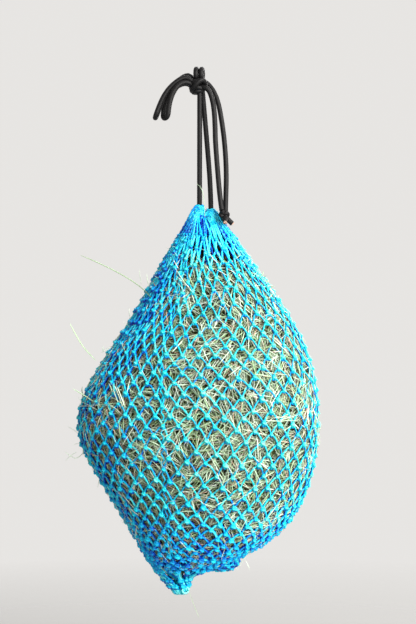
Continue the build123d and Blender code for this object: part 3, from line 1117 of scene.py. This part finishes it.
def base_tuft(weave, c, r):
    """The bottom meshes, drawn together under the bag, and their loops below the tie. Each path's points
    have a turn round the tuft, a distance from its axis and a height."""
    rng = np.random.default_rng(13)
    low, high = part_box("base_gather")
    x = (low.x + high.x) / 2
    tie_low, tie_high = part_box("base_tie")
    waist_r = (tie_high.x - tie_low.x) / 2 - 2.4 * MM
    strands = Strands()
    knot = knot_form()
    last = weave.rows
    for i in range(MESHES_ROUND):
        foot, _ = weave.place(c[last, i], r[last, i], -TWINE_D / 2)
        away = atan2(foot[0] - x, -foot[1])
        out = np.hypot(foot[0] - x, foot[1])
        reach = waist_r - TWINE_D / 2 * (1 if i % 2 else 2.4)
        full = 1.0 if i % 3 else rng.uniform(0.72, 0.9)
        stations = [
            (0, out, foot[2]),
            (0.12, reach + 3.2 * MM, tie_high.z + 3.4 * MM),
            (0.3, reach, (tie_low.z + tie_high.z) / 2),
            (0.45, 8.0 * MM * full, tie_low.z - 1.6 * MM),
            (0.75, 8.7 * MM * full, tie_low.z - 5 * MM),
            (1.1, 7.0 * MM * full, low.z + (2.4 + 4 * (1 - full)) * MM),
            (1.5, 3.4 * MM, low.z + (1.5 + 6 * (1 - full)) * MM),
            (1.9, 3.0 * MM, tie_low.z - 3 * MM),
        ]
        left = max(0, -sin(away)) ** 0.7
        loose = [
            (0, out, foot[2]),
            (0.1, 0.5 * out + (7.5 + 6 * left) * MM, foot[2] - 4.5 * MM),
            (0.35, (11.2 + 8 * left) * MM, tie_high.z + 1.5 * MM),
            (0.7, (9.7 + 3.6 * left) * MM, tie_low.z - 0.5 * MM),
            (1.05, 9.3 * MM, tie_low.z - 4.5 * MM),
            (1.4, 7.4 * MM, low.z + 2.6 * MM),
            (1.8, 3.2 * MM, low.z + 1.6 * MM),
            (2.1, 2.6 * MM, low.z + 6 * MM),
        ]
        for path, kept in ((stations, True), (loose, i % 5 != 2)):
            if not kept:
                continue
            swing = rng.uniform(0.6, 1.1)
            turned = rng.uniform(-0.12, 0.12)
            grown = rng.uniform(0.9, 1.05)
            line = []
            for k, (turn, out_here, z) in enumerate(path):
                angle = away + turn * swing + turned * (k > 0)
                out_here = out_here * (grown if k > 1 else 1)
                line.append((x + out_here * sin(angle), -out_here * cos(angle), z))
            facings = facing_out(line, x, -3 * MM)
            # Painted light: the tuft hangs in the bag's shadow, so its strands are lightened.
            depth = rng.choice([-1.2, -0.9, -0.3])
            strands.line(line, facings, width=rng.uniform(0.95, 1.2), crowd=0.6, depth=depth)
            if path is loose:
                for k in (1, 2, 3):
                    # Its knots are lightened with painted light too.
                    strands.point(line[k], facings[k], knot=rng.uniform(0.85, 1.1), crowd=0.6, depth=-0.45)
    eye = []
    for t in np.linspace(0, tau, 13)[:-1]:
        up = low.z + (6.2 + 3.4 * sin(t)) * MM
        eye.append((x + (5.6 + 3.4 * cos(t)) * MM, (-9.2 + 2.2 * cos(t)) * MM, up))
    # The eye is lightened with painted light too.
    strands.line(eye, [(0.4, -0.9, 0)] * len(eye), closed=True, width=1.1, depth=-0.5)
    twine_piece("base_tuft", strands, 51, "net_twine", "base_gather", knot=knot)
    bpy.data.objects.remove(knot)


def base_tie():
    """The twine tied round the bottom meshes: two turns, and an end that hangs in front."""
    low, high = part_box("base_gather")
    x = (low.x + high.x) / 2
    low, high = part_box("base_tie")
    strands = Strands()
    turns, radius = 2, (high.x - low.x) / 2 - 1.2 * MM
    angles = np.linspace(0, turns * tau, turns * 14 + 1) - 0.5
    heights = np.linspace(low.z + 1.2 * MM, high.z - 1.2 * MM, len(angles))
    line = [(x + radius * sin(a), -radius * cos(a), z) for a, z in zip(angles, heights)]
    line.append((x - 1 * MM, -radius - 2.4 * MM, heights[-1] - 1 * MM))
    line.append((x + 3 * MM, -radius - 3 * MM, heights[-1] - 6 * MM))
    strands.line(line, facing_out(line, x, 0), width=0.94)
    twine_piece("base_tie_turns", strands, 52, "tie_twine", "base_tie")


def corner_fold():
    """Slack meshes that sag from the underside in a broad fold."""
    rng = np.random.default_rng(17)
    low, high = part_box("corner_gather")
    centre = np.array([(low.x + high.x) / 2 - 5 * MM, -3 * MM, high.z - 1 * MM])
    knot = knot_form()
    strands = Strands()
    for size, shift in ((1.0, 0.0), (0.82, 0.5)):
        half = np.array([21 * MM, 21 * MM, centre[2] - low.z - 3 * MM]) * size
        rows, columns = 5, 12
        down = np.radians(np.linspace(108, 24, rows))
        rough = rng.normal(0, 0.11, (rows, columns, 2))

        def spot(i, j):
            turn = (i + shift + (0.5 if j % 2 else 0)) * tau / columns + rough[j, i % columns, 0]
            tilt = down[j] + rough[j, i % columns, 1]
            normal = np.array([sin(tilt) * cos(turn), sin(tilt) * sin(turn), -cos(tilt)])
            swell = 1 + 0.07 * sin(3 * turn + 5 * tilt) + 0.05 * sin(5 * turn - 4)
            return centre + normal * half * swell, tuple(Vector(normal).normalized())

        for j in range(rows):
            for i in range(columns):
                place, normal = spot(i, j)
                strands.point(place, normal, knot=rng.uniform(0.9, 1.2), crowd=0.3)
                if j == rows - 1:
                    continue
                for other in (i, i + 1 if j % 2 else i - 1):
                    end, end_normal = spot(other, j + 1)
                    middle = (place + end) / 2 + np.array(normal) * 0.8 * MM
                    line = [tuple(v) for v in (place, middle, end)]
                    facings = [normal, normal, end_normal]
                    width = rng.uniform(0.95, 1.15)
                    # The inner, smaller layer is darkened with painted shade.
                    strands.line(line, facings, width=width, crowd=0.5, depth=(1 - size) * 4)
    twine_piece("corner_fold", strands, 61, "net_twine", "corner_gather", knot=knot)
    bpy.data.objects.remove(knot)


# ---------------------------------------------------------------------- hay


def hay_core(bag):
    """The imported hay's surface, a little inside the netting and pushed out unevenly."""
    around, levels = 120, 110
    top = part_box("hay_fill")[1].z
    heights = np.linspace(top, LAST_ROW_Z - 7 * MM, levels)
    angles = np.arange(around) * tau / around
    a, z = np.meshgrid(angles, heights)
    # Each wave's count round the bag, its turn with height, its start and its share of the bumps.
    waves = ((3, 40, 0, 0.9), (7, -70, 1, 0.8), (12, 110, 2, 0.6), (19, -190, 4, 0.5), (31, 260, 3, 0.4))
    bumps = sum(np.sin(a * i + z * k + p) * s for i, k, p, s in waves)
    ends = np.clip((heights - heights[-1]) / (30 * MM), 0, 1)[:, None]
    lift = -(HAY_DEPTH * (0.6 + 0.4 * ends)) + bumps * 0.9 * MM * ends
    points, _ = bag.place(a, z, lift)
    vertices = [tuple(p) for p in points.reshape(-1, 3)]
    faces = []
    for j in range(levels - 1):
        for i in range(around):
            k = (i + 1) % around
            faces.append((j * around + i, (j + 1) * around + i, (j + 1) * around + k, j * around + k))
    faces.append(tuple(range(around)))
    faces.append(tuple(reversed(range((levels - 1) * around, levels * around))))
    mesh = bpy.data.meshes.new("hay_core")
    mesh.from_pydata(vertices, [], faces)
    mesh.shade_smooth()
    mesh.materials.append(core_finish())
    return new_piece("hay_core", mesh)


def hay_layers(core):
    """The stems that show through the meshes, and the wisps that have worked out through them."""
    # Each layer's stems per square metre, their length, their least and greatest height off the core,
    # their lean, their bend and the seed.
    layers = {
        "hay_stems_deep": (33000.0, 34, 0, 2.5, 0.12, 7, 100),
        "hay_stems_middle": (33000.0, 30, 1.5, 4, 0.12, 7, 200),
        "hay_stems_front": (33000.0, 24, 3, 6, 0.12, 6, 300),
        "hay_wisps": (1000.0, 20, 5, 8, 0.5, 9, 400),
    }
    for name, (density, length, lowest, highest, lean, bend, seed) in layers.items():
        inputs = {
            "Density": density,
            "Length": length * MM,
            "Width": STEM_W,
            "Lowest": lowest * MM,
            "Highest": highest * MM,
            "Lean": lean,
            "Bend": bend * MM,
            "Seed": seed,
            "Material": STEM,
        }
        piece = grow(name, core.data.copy(), HAY_TREE, inputs)
        dress(piece, "bag", "hay")


# Stems that stand out of the net, each a tone, a width and its points from the free end to the root:
# across and up, in millimetres.
STRAYS = [
    (
        0.06, 1.9,
        [
            (-129.8, -199.3), (-114.7, -205.6), (-95.4, -214.8), (-78.5, -224.2), (-64.1, -234.2),
            (-53.2, -244.3), (-44, -252.8),
        ],
    ),
    (0.2, 2.0, [(-140.8, -273.8), (-133.2, -288.1), (-124.9, -300.9), (-112.8, -314.1)]),
    (0.3, 2.0, [(-137.3, -344.4), (-116, -355), (-94.5, -367.5)]),
    (0.62, 1.6, [(-88.7, -339), (-83, -351), (-78.8, -363.6)]),
    (0.66, 1.4, [(-86, -340), (-80.5, -352), (-77, -362)]),
    (0.55, 1.2, [(-90.5, -342), (-86, -353), (-80.5, -364)]),
    (0.5, 0.9, [(-65.5, -215.1), (-64.8, -223), (-63.4, -231.6)]),
    (0.55, 0.9, [(-57.4, -219.9), (-56.4, -228), (-54.1, -236)]),
    (0.5, 0.8, [(-62.9, -240.1), (-58.3, -246.8)]),
    (0.75, 1.1, [(-76.8, -256.9), (-76.4, -263), (-75.1, -268.7)]),
    (0.6, 1.0, [(-83.5, -271.2), (-77, -276.5), (-70.1, -283)]),
    (0.6, 1.2, [(-106.3, -305.8), (-101, -301.5), (-95.4, -299.1)]),
    (0.7, 1.5, [(-104.6, -298.2), (-105.4, -304.9)]),
    (0.75, 1.3, [(-131.5, -363.6), (-120, -362), (-109.5, -364.6)]),
    (0.85, 1.2, [(-127, -359), (-116, -361.5), (-104.5, -367)]),
    (0.5, 1.0, [(-130.9, -353.7), (-128.9, -358.6)]),
    (0.55, 1.0, [(-142.7, -385.1), (-137, -388.5), (-131.9, -393)]),
    (0.6, 1.0, [(-136.7, -404.8), (-129.9, -403.8)]),
    (0.45, 1.1, [(-145.6, -412.6), (-133.8, -420), (-124, -411.7)]),
    (0.5, 0.9, [(-144.7, -422.5), (-139.7, -417.1), (-133, -413)]),
    (0.97, 1.3, [(-117.2, -413.1), (-110, -413.8), (-103.4, -414.2)]),
    (0.97, 0.8, [(-49.8, -229.1), (-47.1, -233.8), (-45.2, -229.1)]),
    (0.9, 0.9, [(-27.8, -205), (-24.5, -211), (-20.9, -216.4)]),
    (0.6, 0.9, [(-25.9, -214), (-16, -229.4), (-9.6, -237.1), (-3.2, -256.2)]),
    (0.6, 0.9, [(-55.6, -253), (-57.5, -261), (-60.6, -268.8)]),
    (0.97, 0.8, [(-34.8, -260), (-34, -269), (-32.2, -277.8)]),
    (0.75, 1.0, [(6.3, -209.6), (9, -214.5), (12.7, -218.9)]),
    (0.9, 1.0, [(10.5, -197.5), (15.5, -205), (22, -210.7)]),
    (0.85, 1.2, [(16.6, -215.3), (24, -219), (32.8, -223.7)]),
    (0.8, 1.0, [(38.2, -229.1), (42.5, -232.5), (47.4, -236.8)]),
    (0.7, 0.9, [(35.1, -165.1), (32, -168.2)]),
    (0.7, 0.9, [(56.7, -198.2), (52.8, -199.8)]),
    (0.6, 1.1, [(42.2, -543), (45, -537), (49, -531.2)]),
    (0.6, 0.9, [(54.9, -543), (52.5, -537), (49.8, -532)]),
    (0.7, 0.9, [(41.5, -543), (38, -538), (33.9, -533.7)]),
    (0.1, 0.6, [(-0.5, -596), (-6, -582), (-11.6, -566)]),
]
# A stem in front of the cords, above the mouth: across, back and up.
CORD_STEM = [
    (-2.6, -9.6, -121.1), (2.4, -9.4, -126.8), (5, -8.6, -139.4), (5.8, -7.6, -155.2), (6.5, -8.5, -166),
]


def hay_strays(bag):
    """The stems that stand out of the net, placed one by one."""
    strands = Strands()
    for tone, width, points in STRAYS:
        places = []
        for k, (x, z) in enumerate(points):
            x, z = x * MM, z * MM
            height = min(max(z, bag.bottom), bag.top)
            root = k / (len(points) - 1)
            lift = (3.5 * (1 - root) + 1.2 * sin(pi * root) - 1.5 * root) * MM
            places.append((x, bag.front_y(x, height) - lift, z))
        strands.line(places, [FRONT] * len(places), width=width, tone=tone)
    places = in_metres(CORD_STEM)
    strands.line(places, [FRONT] * len(places), width=1.0, tone=0.35)
    inputs = {"Width": 1.0 * MM, "Step": 4 * MM, "Material": STEM}
    piece = grow("hay_strays", strands.mesh("hay_strays"), STRAY_TREE, inputs)
    dress(piece, "bag", "hay")


# --------------------------------------------------------------------- cord


def in_metres(points):
    return [tuple(v * MM for v in point) for point in points]


LOAD_LEFT = in_metres([(0.3, -2.9, -14), (0, 0, -151.75)])
LOAD_RIGHT = in_metres([(2.9, 2.9, -14), (9.5, 1.3, -88.5), (12.2, 0.4, -127), (12.6, 0, -151.75)])
TAIL_LEFT = in_metres(
    [
        (0, -4.5, -13.5), (6, -7.4, -14.6), (11, -7.3, -19.4), (14, -6.9, -28), (16.1, -6.7, -40),
        (17.1, -7, -57.7), (17.3, -7.6, -72), (18.5, -8.8, -89.6), (20.1, -10.6, -110),
        (21.6, -12.8, -128), (23.2, -15.2, -142), (24.4, -17.2, -150.5),
    ]
)
TAIL_RIGHT = in_metres(
    [
        (-4, 5.5, -12), (1.5, 9.4, -7.2), (6.6, 10.4, -6.6), (11.8, 9.8, -11.6), (16.8, 8, -19.4),
        (21.2, 5.6, -32), (25.1, 2.8, -54.5), (27.5, 0.2, -74.2), (29.1, -3, -97), (29.4, -6, -116),
        (28.9, -8.8, -133), (28.6, -10.8, -144), (28.5, -11.9, -151),
    ]
)
BIGHT_OUTER = in_metres(
    [
        (-4, -3, -12), (-7.4, -3.3, -8.4), (-11.6, -3.8, -5), (-16.6, -4.1, -4.2), (-21.6, -4.5, -6.2),
        (-26.6, -4.9, -9.9), (-31.4, -5.2, -14.2), (-36, -5.5, -19.8), (-40.2, -5.8, -26.8),
        (-43.4, -5.9, -34), (-45.6, -6, -39.6), (-47.3, -6, -44.4), (-48.6, -2.5, -47.7),
        (-48.6, 2.5, -47.7), (-47.3, 6, -44.4), (-45.6, 6, -39.5), (-43.5, 5.9, -33.9),
        (-40.4, 5.8, -26.9), (-36.6, 5.6, -20.4), (-32, 5.3, -14.6), (-27, 5, -9.4), (-21.8, 4.8, -4.8),
        (-17.2, 4.6, -1.7), (-12.4, 4.4, -0.2), (-8.6, 4, -2.8), (-5.8, 3.4, -7.6), (-4, 3, -12),
    ]
)
BIGHT_INNER = in_metres(
    [
        (-5, -3, -15.8), (-8.6, -4.6, -12), (-13.6, -6.4, -9.4), (-19.4, -8, -10.4), (-24.6, -9, -14.6),
        (-28.6, -9.4, -20.8), (-31.6, -9.4, -28.4), (-33.5, -9.2, -37.2), (-34.3, -8.8, -46),
        (-36.5, -6.7, -48.8), (-38.9, -3.7, -48.8), (-40.1, -1.6, -46), (-39.3, -1.2, -39.4),
        (-37.4, -0.8, -33), (-34.6, -0.4, -26), (-30.8, 0, -19.4), (-26, 0.2, -14.2),
        (-20.6, 0.8, -10.8), (-14.8, 1.8, -9.4), (-9.2, 3, -11.6), (-5, 3, -15.8),
    ]
)
MOUTH = in_metres([(0, 0, -152.7), (0, 0, -171.3), (12.6, 0, -171.3), (12.6, 0, -152.7)])
CROSSING = in_metres(
    [
        (2.5, 4, -14), (6.2, 1, -12.6), (6.6, -5.4, -10.4), (3.6, -10, -7.4), (0, -11.6, -8.8),
        (-3.6, -11.2, -12.6), (-6.4, -9.2, -16), (-8.6, -4.6, -18.2), (-7.4, 0.8, -18.6), (-3, 3, -17.5),
    ]
)
CUT_ENDS = {"left": (28.0, -23.7, -163.9), "right": (35.8, -14.1, -165.0)}


def free_cord(name, node, body, route):
    """A free stretch of the draw cord along its route."""
    line = smooth_line(route)
    piece = braided(name, [line])
    dress(piece, body, "draw_cord", node)


def ring_turns():
    """The two turns of the cord over the ring's bar."""
    for side in ("left", "right"):
        low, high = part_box(f"ring_turn_{side}")
        x = (low.x + high.x) / 2
        radius = (high.z - low.z) / 2 - CORD_D / 2
        angles = np.linspace(0, tau, 48, endpoint=False)
        across, along = np.cos(angles), np.sin(angles)
        line = np.stack([x + 0.7 * MM * across, radius * across, radius * along], axis=1)
        piece = braided(f"turn_over_bar_{side}", [line], closed=True)
        dress(piece, "ring_turns", "draw_cord", f"ring_turn_{side}")


def hitch_wraps():
    """The slip hitch under the ring: bands round the standing cords, and a strand across them in front."""
    low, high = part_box("hitch_knot")
    x = (low.x + high.x) / 2
    angles = np.linspace(0, tau, 60, endpoint=False)
    across, along = np.cos(angles), np.sin(angles)
    # Each band's shift across, half width, half depth, height, rise at the front and back, and tilt, in mm.
    bands = (
        (-0.3, 6.4, 8.0, -11.2, 2.6, 0.5),
        (-0.6, 6.4, 7.2, -15.9, 0.6, -0.8),
        (0.0, 4.6, 5.2, -18.9, 0.0, 0.5),
    )
    lines = []
    for shift, half_w, half_d, z, saddle, tilt in bands:
        heights = z + saddle * along**2 + tilt * across
        band = [x + (shift + half_w * across) * MM, half_d * along * MM, heights * MM]
        lines.append(np.stack(band, axis=1))
    wraps = braided("hitch_bands", lines, closed=True)
    dress(wraps, "hitch", "draw_cord", "hitch_knot")
    strand = braided("hitch_crossing", [smooth_line(CROSSING)])
    dress(strand, "hitch", "draw_cord", "hitch_knot")


def end_knot():
    """The overhand knot that joins the tails, and the two cut ends below it."""
    low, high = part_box("end_knot")
    centre = np.array((low + high) / 2)
    t = np.linspace(0, tau, 72, endpoint=False)
    trefoil = [np.sin(t) + 2 * np.sin(2 * t), np.sin(3 * t) * 1.1, np.cos(t) - 2 * np.cos(2 * t)]
    knot = centre + np.stack(trefoil, axis=1) * 1.32 * MM
    wraps = braided("end_knot_wraps", [knot], radius=2.5 * MM, closed=True)
    dress(wraps, "tail_cords", "draw_cord", "end_knot")
    tops = [np.array(route[-1]) for route in (TAIL_LEFT, TAIL_RIGHT)]
    necks = braided("end_knot_necks", [np.array([top, top * 0.4 + centre * 0.6]) for top in tops])
    dress(necks, "tail_cords", "draw_cord", "end_knot")
    pieces = [wraps, necks]
    for side, seed in (("left", 3), ("right", 5)):
        tip = np.array(CUT_ENDS[side]) * MM
        run = tip - centre
        start = centre + run * 0.3
        run = run / np.linalg.norm(run)
        end = braided(f"cut_end_{side}", [np.array([start, tip])])
        dress(end, "tail_cords", "draw_cord", f"cord_end_{side}")
        yarns = cut_yarns(f"cut_yarns_{side}", tip, run, seed)
        dress(yarns, "tail_cords", "cut_cord_end")
        pieces += [end, yarns]
    return pieces


def cut_yarns(name, tip, run, seed):
    """The cord's pale core where it is cut: a bundle of yarns that fans out a little."""
    rng = np.random.default_rng(seed)
    side = np.cross(run, [0.2, 0.4, 0.9])
    side /= np.linalg.norm(side)
    up = np.cross(run, side)
    count = 19
    tubes = []
    for k in range(count):
        angle = k * 2.4
        out = 1.75 * MM * sqrt(k / count)
        across = side * cos(angle) + up * sin(angle)
        reach = rng.uniform(0.5, 1.3) * MM
        line = [
            tip - run * 0.6 * MM + across * out,
            tip + run * reach * 0.5 + across * out * 1.05,
            tip + run * reach + across * out * rng.uniform(1.1, 1.45),
        ]
        tubes.append(tube_mesh(line, [0.36 * MM, 0.36 * MM, 0.25 * MM], 6))
    vertices, faces, _ = merged(tubes)
    mesh = bpy.data.meshes.new(name)
    mesh.from_pydata(vertices, [], faces)
    mesh.shade_smooth()
    mesh.materials.append(CUT_YARN)
    return new_piece(name, mesh)


def draw_cord():
    ring_turns()
    hitch_wraps()
    free_cord("slip_bight_outer_cord", "slip_bight_outer", "hitch", BIGHT_OUTER)
    free_cord("slip_bight_inner_cord", "slip_bight_inner", "hitch", BIGHT_INNER)
    free_cord("load_strand_left_cord", "load_strand_left", "drop_cords", LOAD_LEFT)
    free_cord("load_strand_right_cord", "load_strand_right", "drop_cords", LOAD_RIGHT)
    knot = end_knot()
    free_cord("tail_left_cord", "tail_strand_left", "tail_cords", TAIL_LEFT)
    free_cord("tail_right_cord", "tail_strand_right", "tail_cords", TAIL_RIGHT)
    mouth = braided("mouth_run", [smooth_line(MOUTH)])
    dress(mouth, "bag", "draw_cord", "mouth_cord")


# -------------------------------------------------------------------- stage


def backdrop_world(pale):
    """A pale surround that the camera sees, and a softer light from all round."""
    world = bpy.data.worlds.new("studio")
    bpy.context.scene.world = world
    world.use_nodes = True
    graph = Graph(world.node_tree)
    path = graph.tree.nodes.new("ShaderNodeLightPath")
    seen = Wire(graph, path.outputs["Is Camera Ray"])
    for name in ("Is Glossy Ray", "Is Transmission Ray"):
        seen = seen.maths("MAXIMUM", seen, Wire(graph, path.outputs[name]))
    background = graph.tree.nodes["Background"]
    graph.fill(background.inputs["Color"], graph.mix((0.96, 0.96, 0.94, 1), pale, seen))
    graph.fill(background.inputs["Strength"], seen * 0.74 + 0.26)


def floor():
    """A pale floor well below the net, which fades into the surround at its edge."""
    around, radius, z = 96, 2.6, -0.78
    rim = [(radius * cos(tau * k / around), radius * sin(tau * k / around), z) for k in range(around)]
    mesh = bpy.data.meshes.new("floor")
    mesh.from_pydata(rim, [], [tuple(range(around))])
    constants = {"Roughness": 0.9, "Specular IOR Level": 0.1, "Base Color": (0.42, 0.412, 0.4, 1)}
    material, graph, shader = start_finish("floor", constants)
    apart = graph.add("ShaderNodeSeparateXYZ", {}, {"Vector": object_place(graph)}).output.node
    x, y = Wire(graph, apart.outputs["X"]), Wire(graph, apart.outputs["Y"])
    away = (x * x + y * y) ** 0.5
    graph.fill(shader.inputs["Alpha"], ((1.5 - away) / 1.1).clamped())
    mesh.materials.append(material)
    new_piece("floor", mesh)


def lamp(name, place, target, size, power, tint=(1, 1, 1)):
    data = bpy.data.lights.new(name, "AREA")
    data.size = size
    data.energy = power
    data.color = tint
    light = bpy.data.objects.new(name, data)
    light.location = place
    light.rotation_euler = (Vector(target) - Vector(place)).to_track_quat("-Z", "Y").to_euler()
    bpy.context.scene.collection.objects.link(light)


def studio():
    backdrop_world((0.80, 0.785, 0.765, 1))
    floor()
    middle = (0, 0, -0.3)
    lamp("key", (1.35, -1.35, 0.45), middle, 2.0, 124, (1.0, 0.985, 0.95))
    lamp("fill", (-0.3, -1.8, -0.5), middle, 1.2, 7, (0.98, 0.98, 1.0))
    lamp("back", (0.4, 1.6, 0.7), middle, 1.2, 26)
    camera = bpy.data.cameras.new("camera")
    camera.sensor_fit = "VERTICAL"
    camera.sensor_height = 36
    camera.lens = 85
    view = bpy.data.objects.new("camera", camera)
    view.location = (0.00935, -1.62, -0.26125)
    view.rotation_euler = (radians(90), 0, 0)
    bpy.context.scene.collection.objects.link(view)
    bpy.context.scene.camera = view
    bpy.context.scene.view_settings.view_transform = "Standard"


TWINE = twine_finish()
CORD = cord_finish()
CUT_YARN = cut_yarn_finish()
STEM = stem_finish()
TWINE_TREE = twine_tree()
HAY_TREE = hay_tree()
STRAY_TREE = stray_tree()
TWINE_INPUTS = {"Twine diameter": TWINE_D, "Twist pitch": TWIST_PITCH, "Step": 1.35 * MM, "Material": TWINE}

studio()
draw_cord()
bag = Bag()
weave = Weave(bag)
knot_c, knot_r = netting(weave)
mouth_bunches(weave, knot_c, knot_r)
seam_lacing(weave)
base_tuft(weave, knot_c, knot_r)
base_tie()
corner_fold()
core = hay_core(bag)
dress(core, "bag", "hay", "hay_fill")
hay_layers(core)
hay_strays(bag)
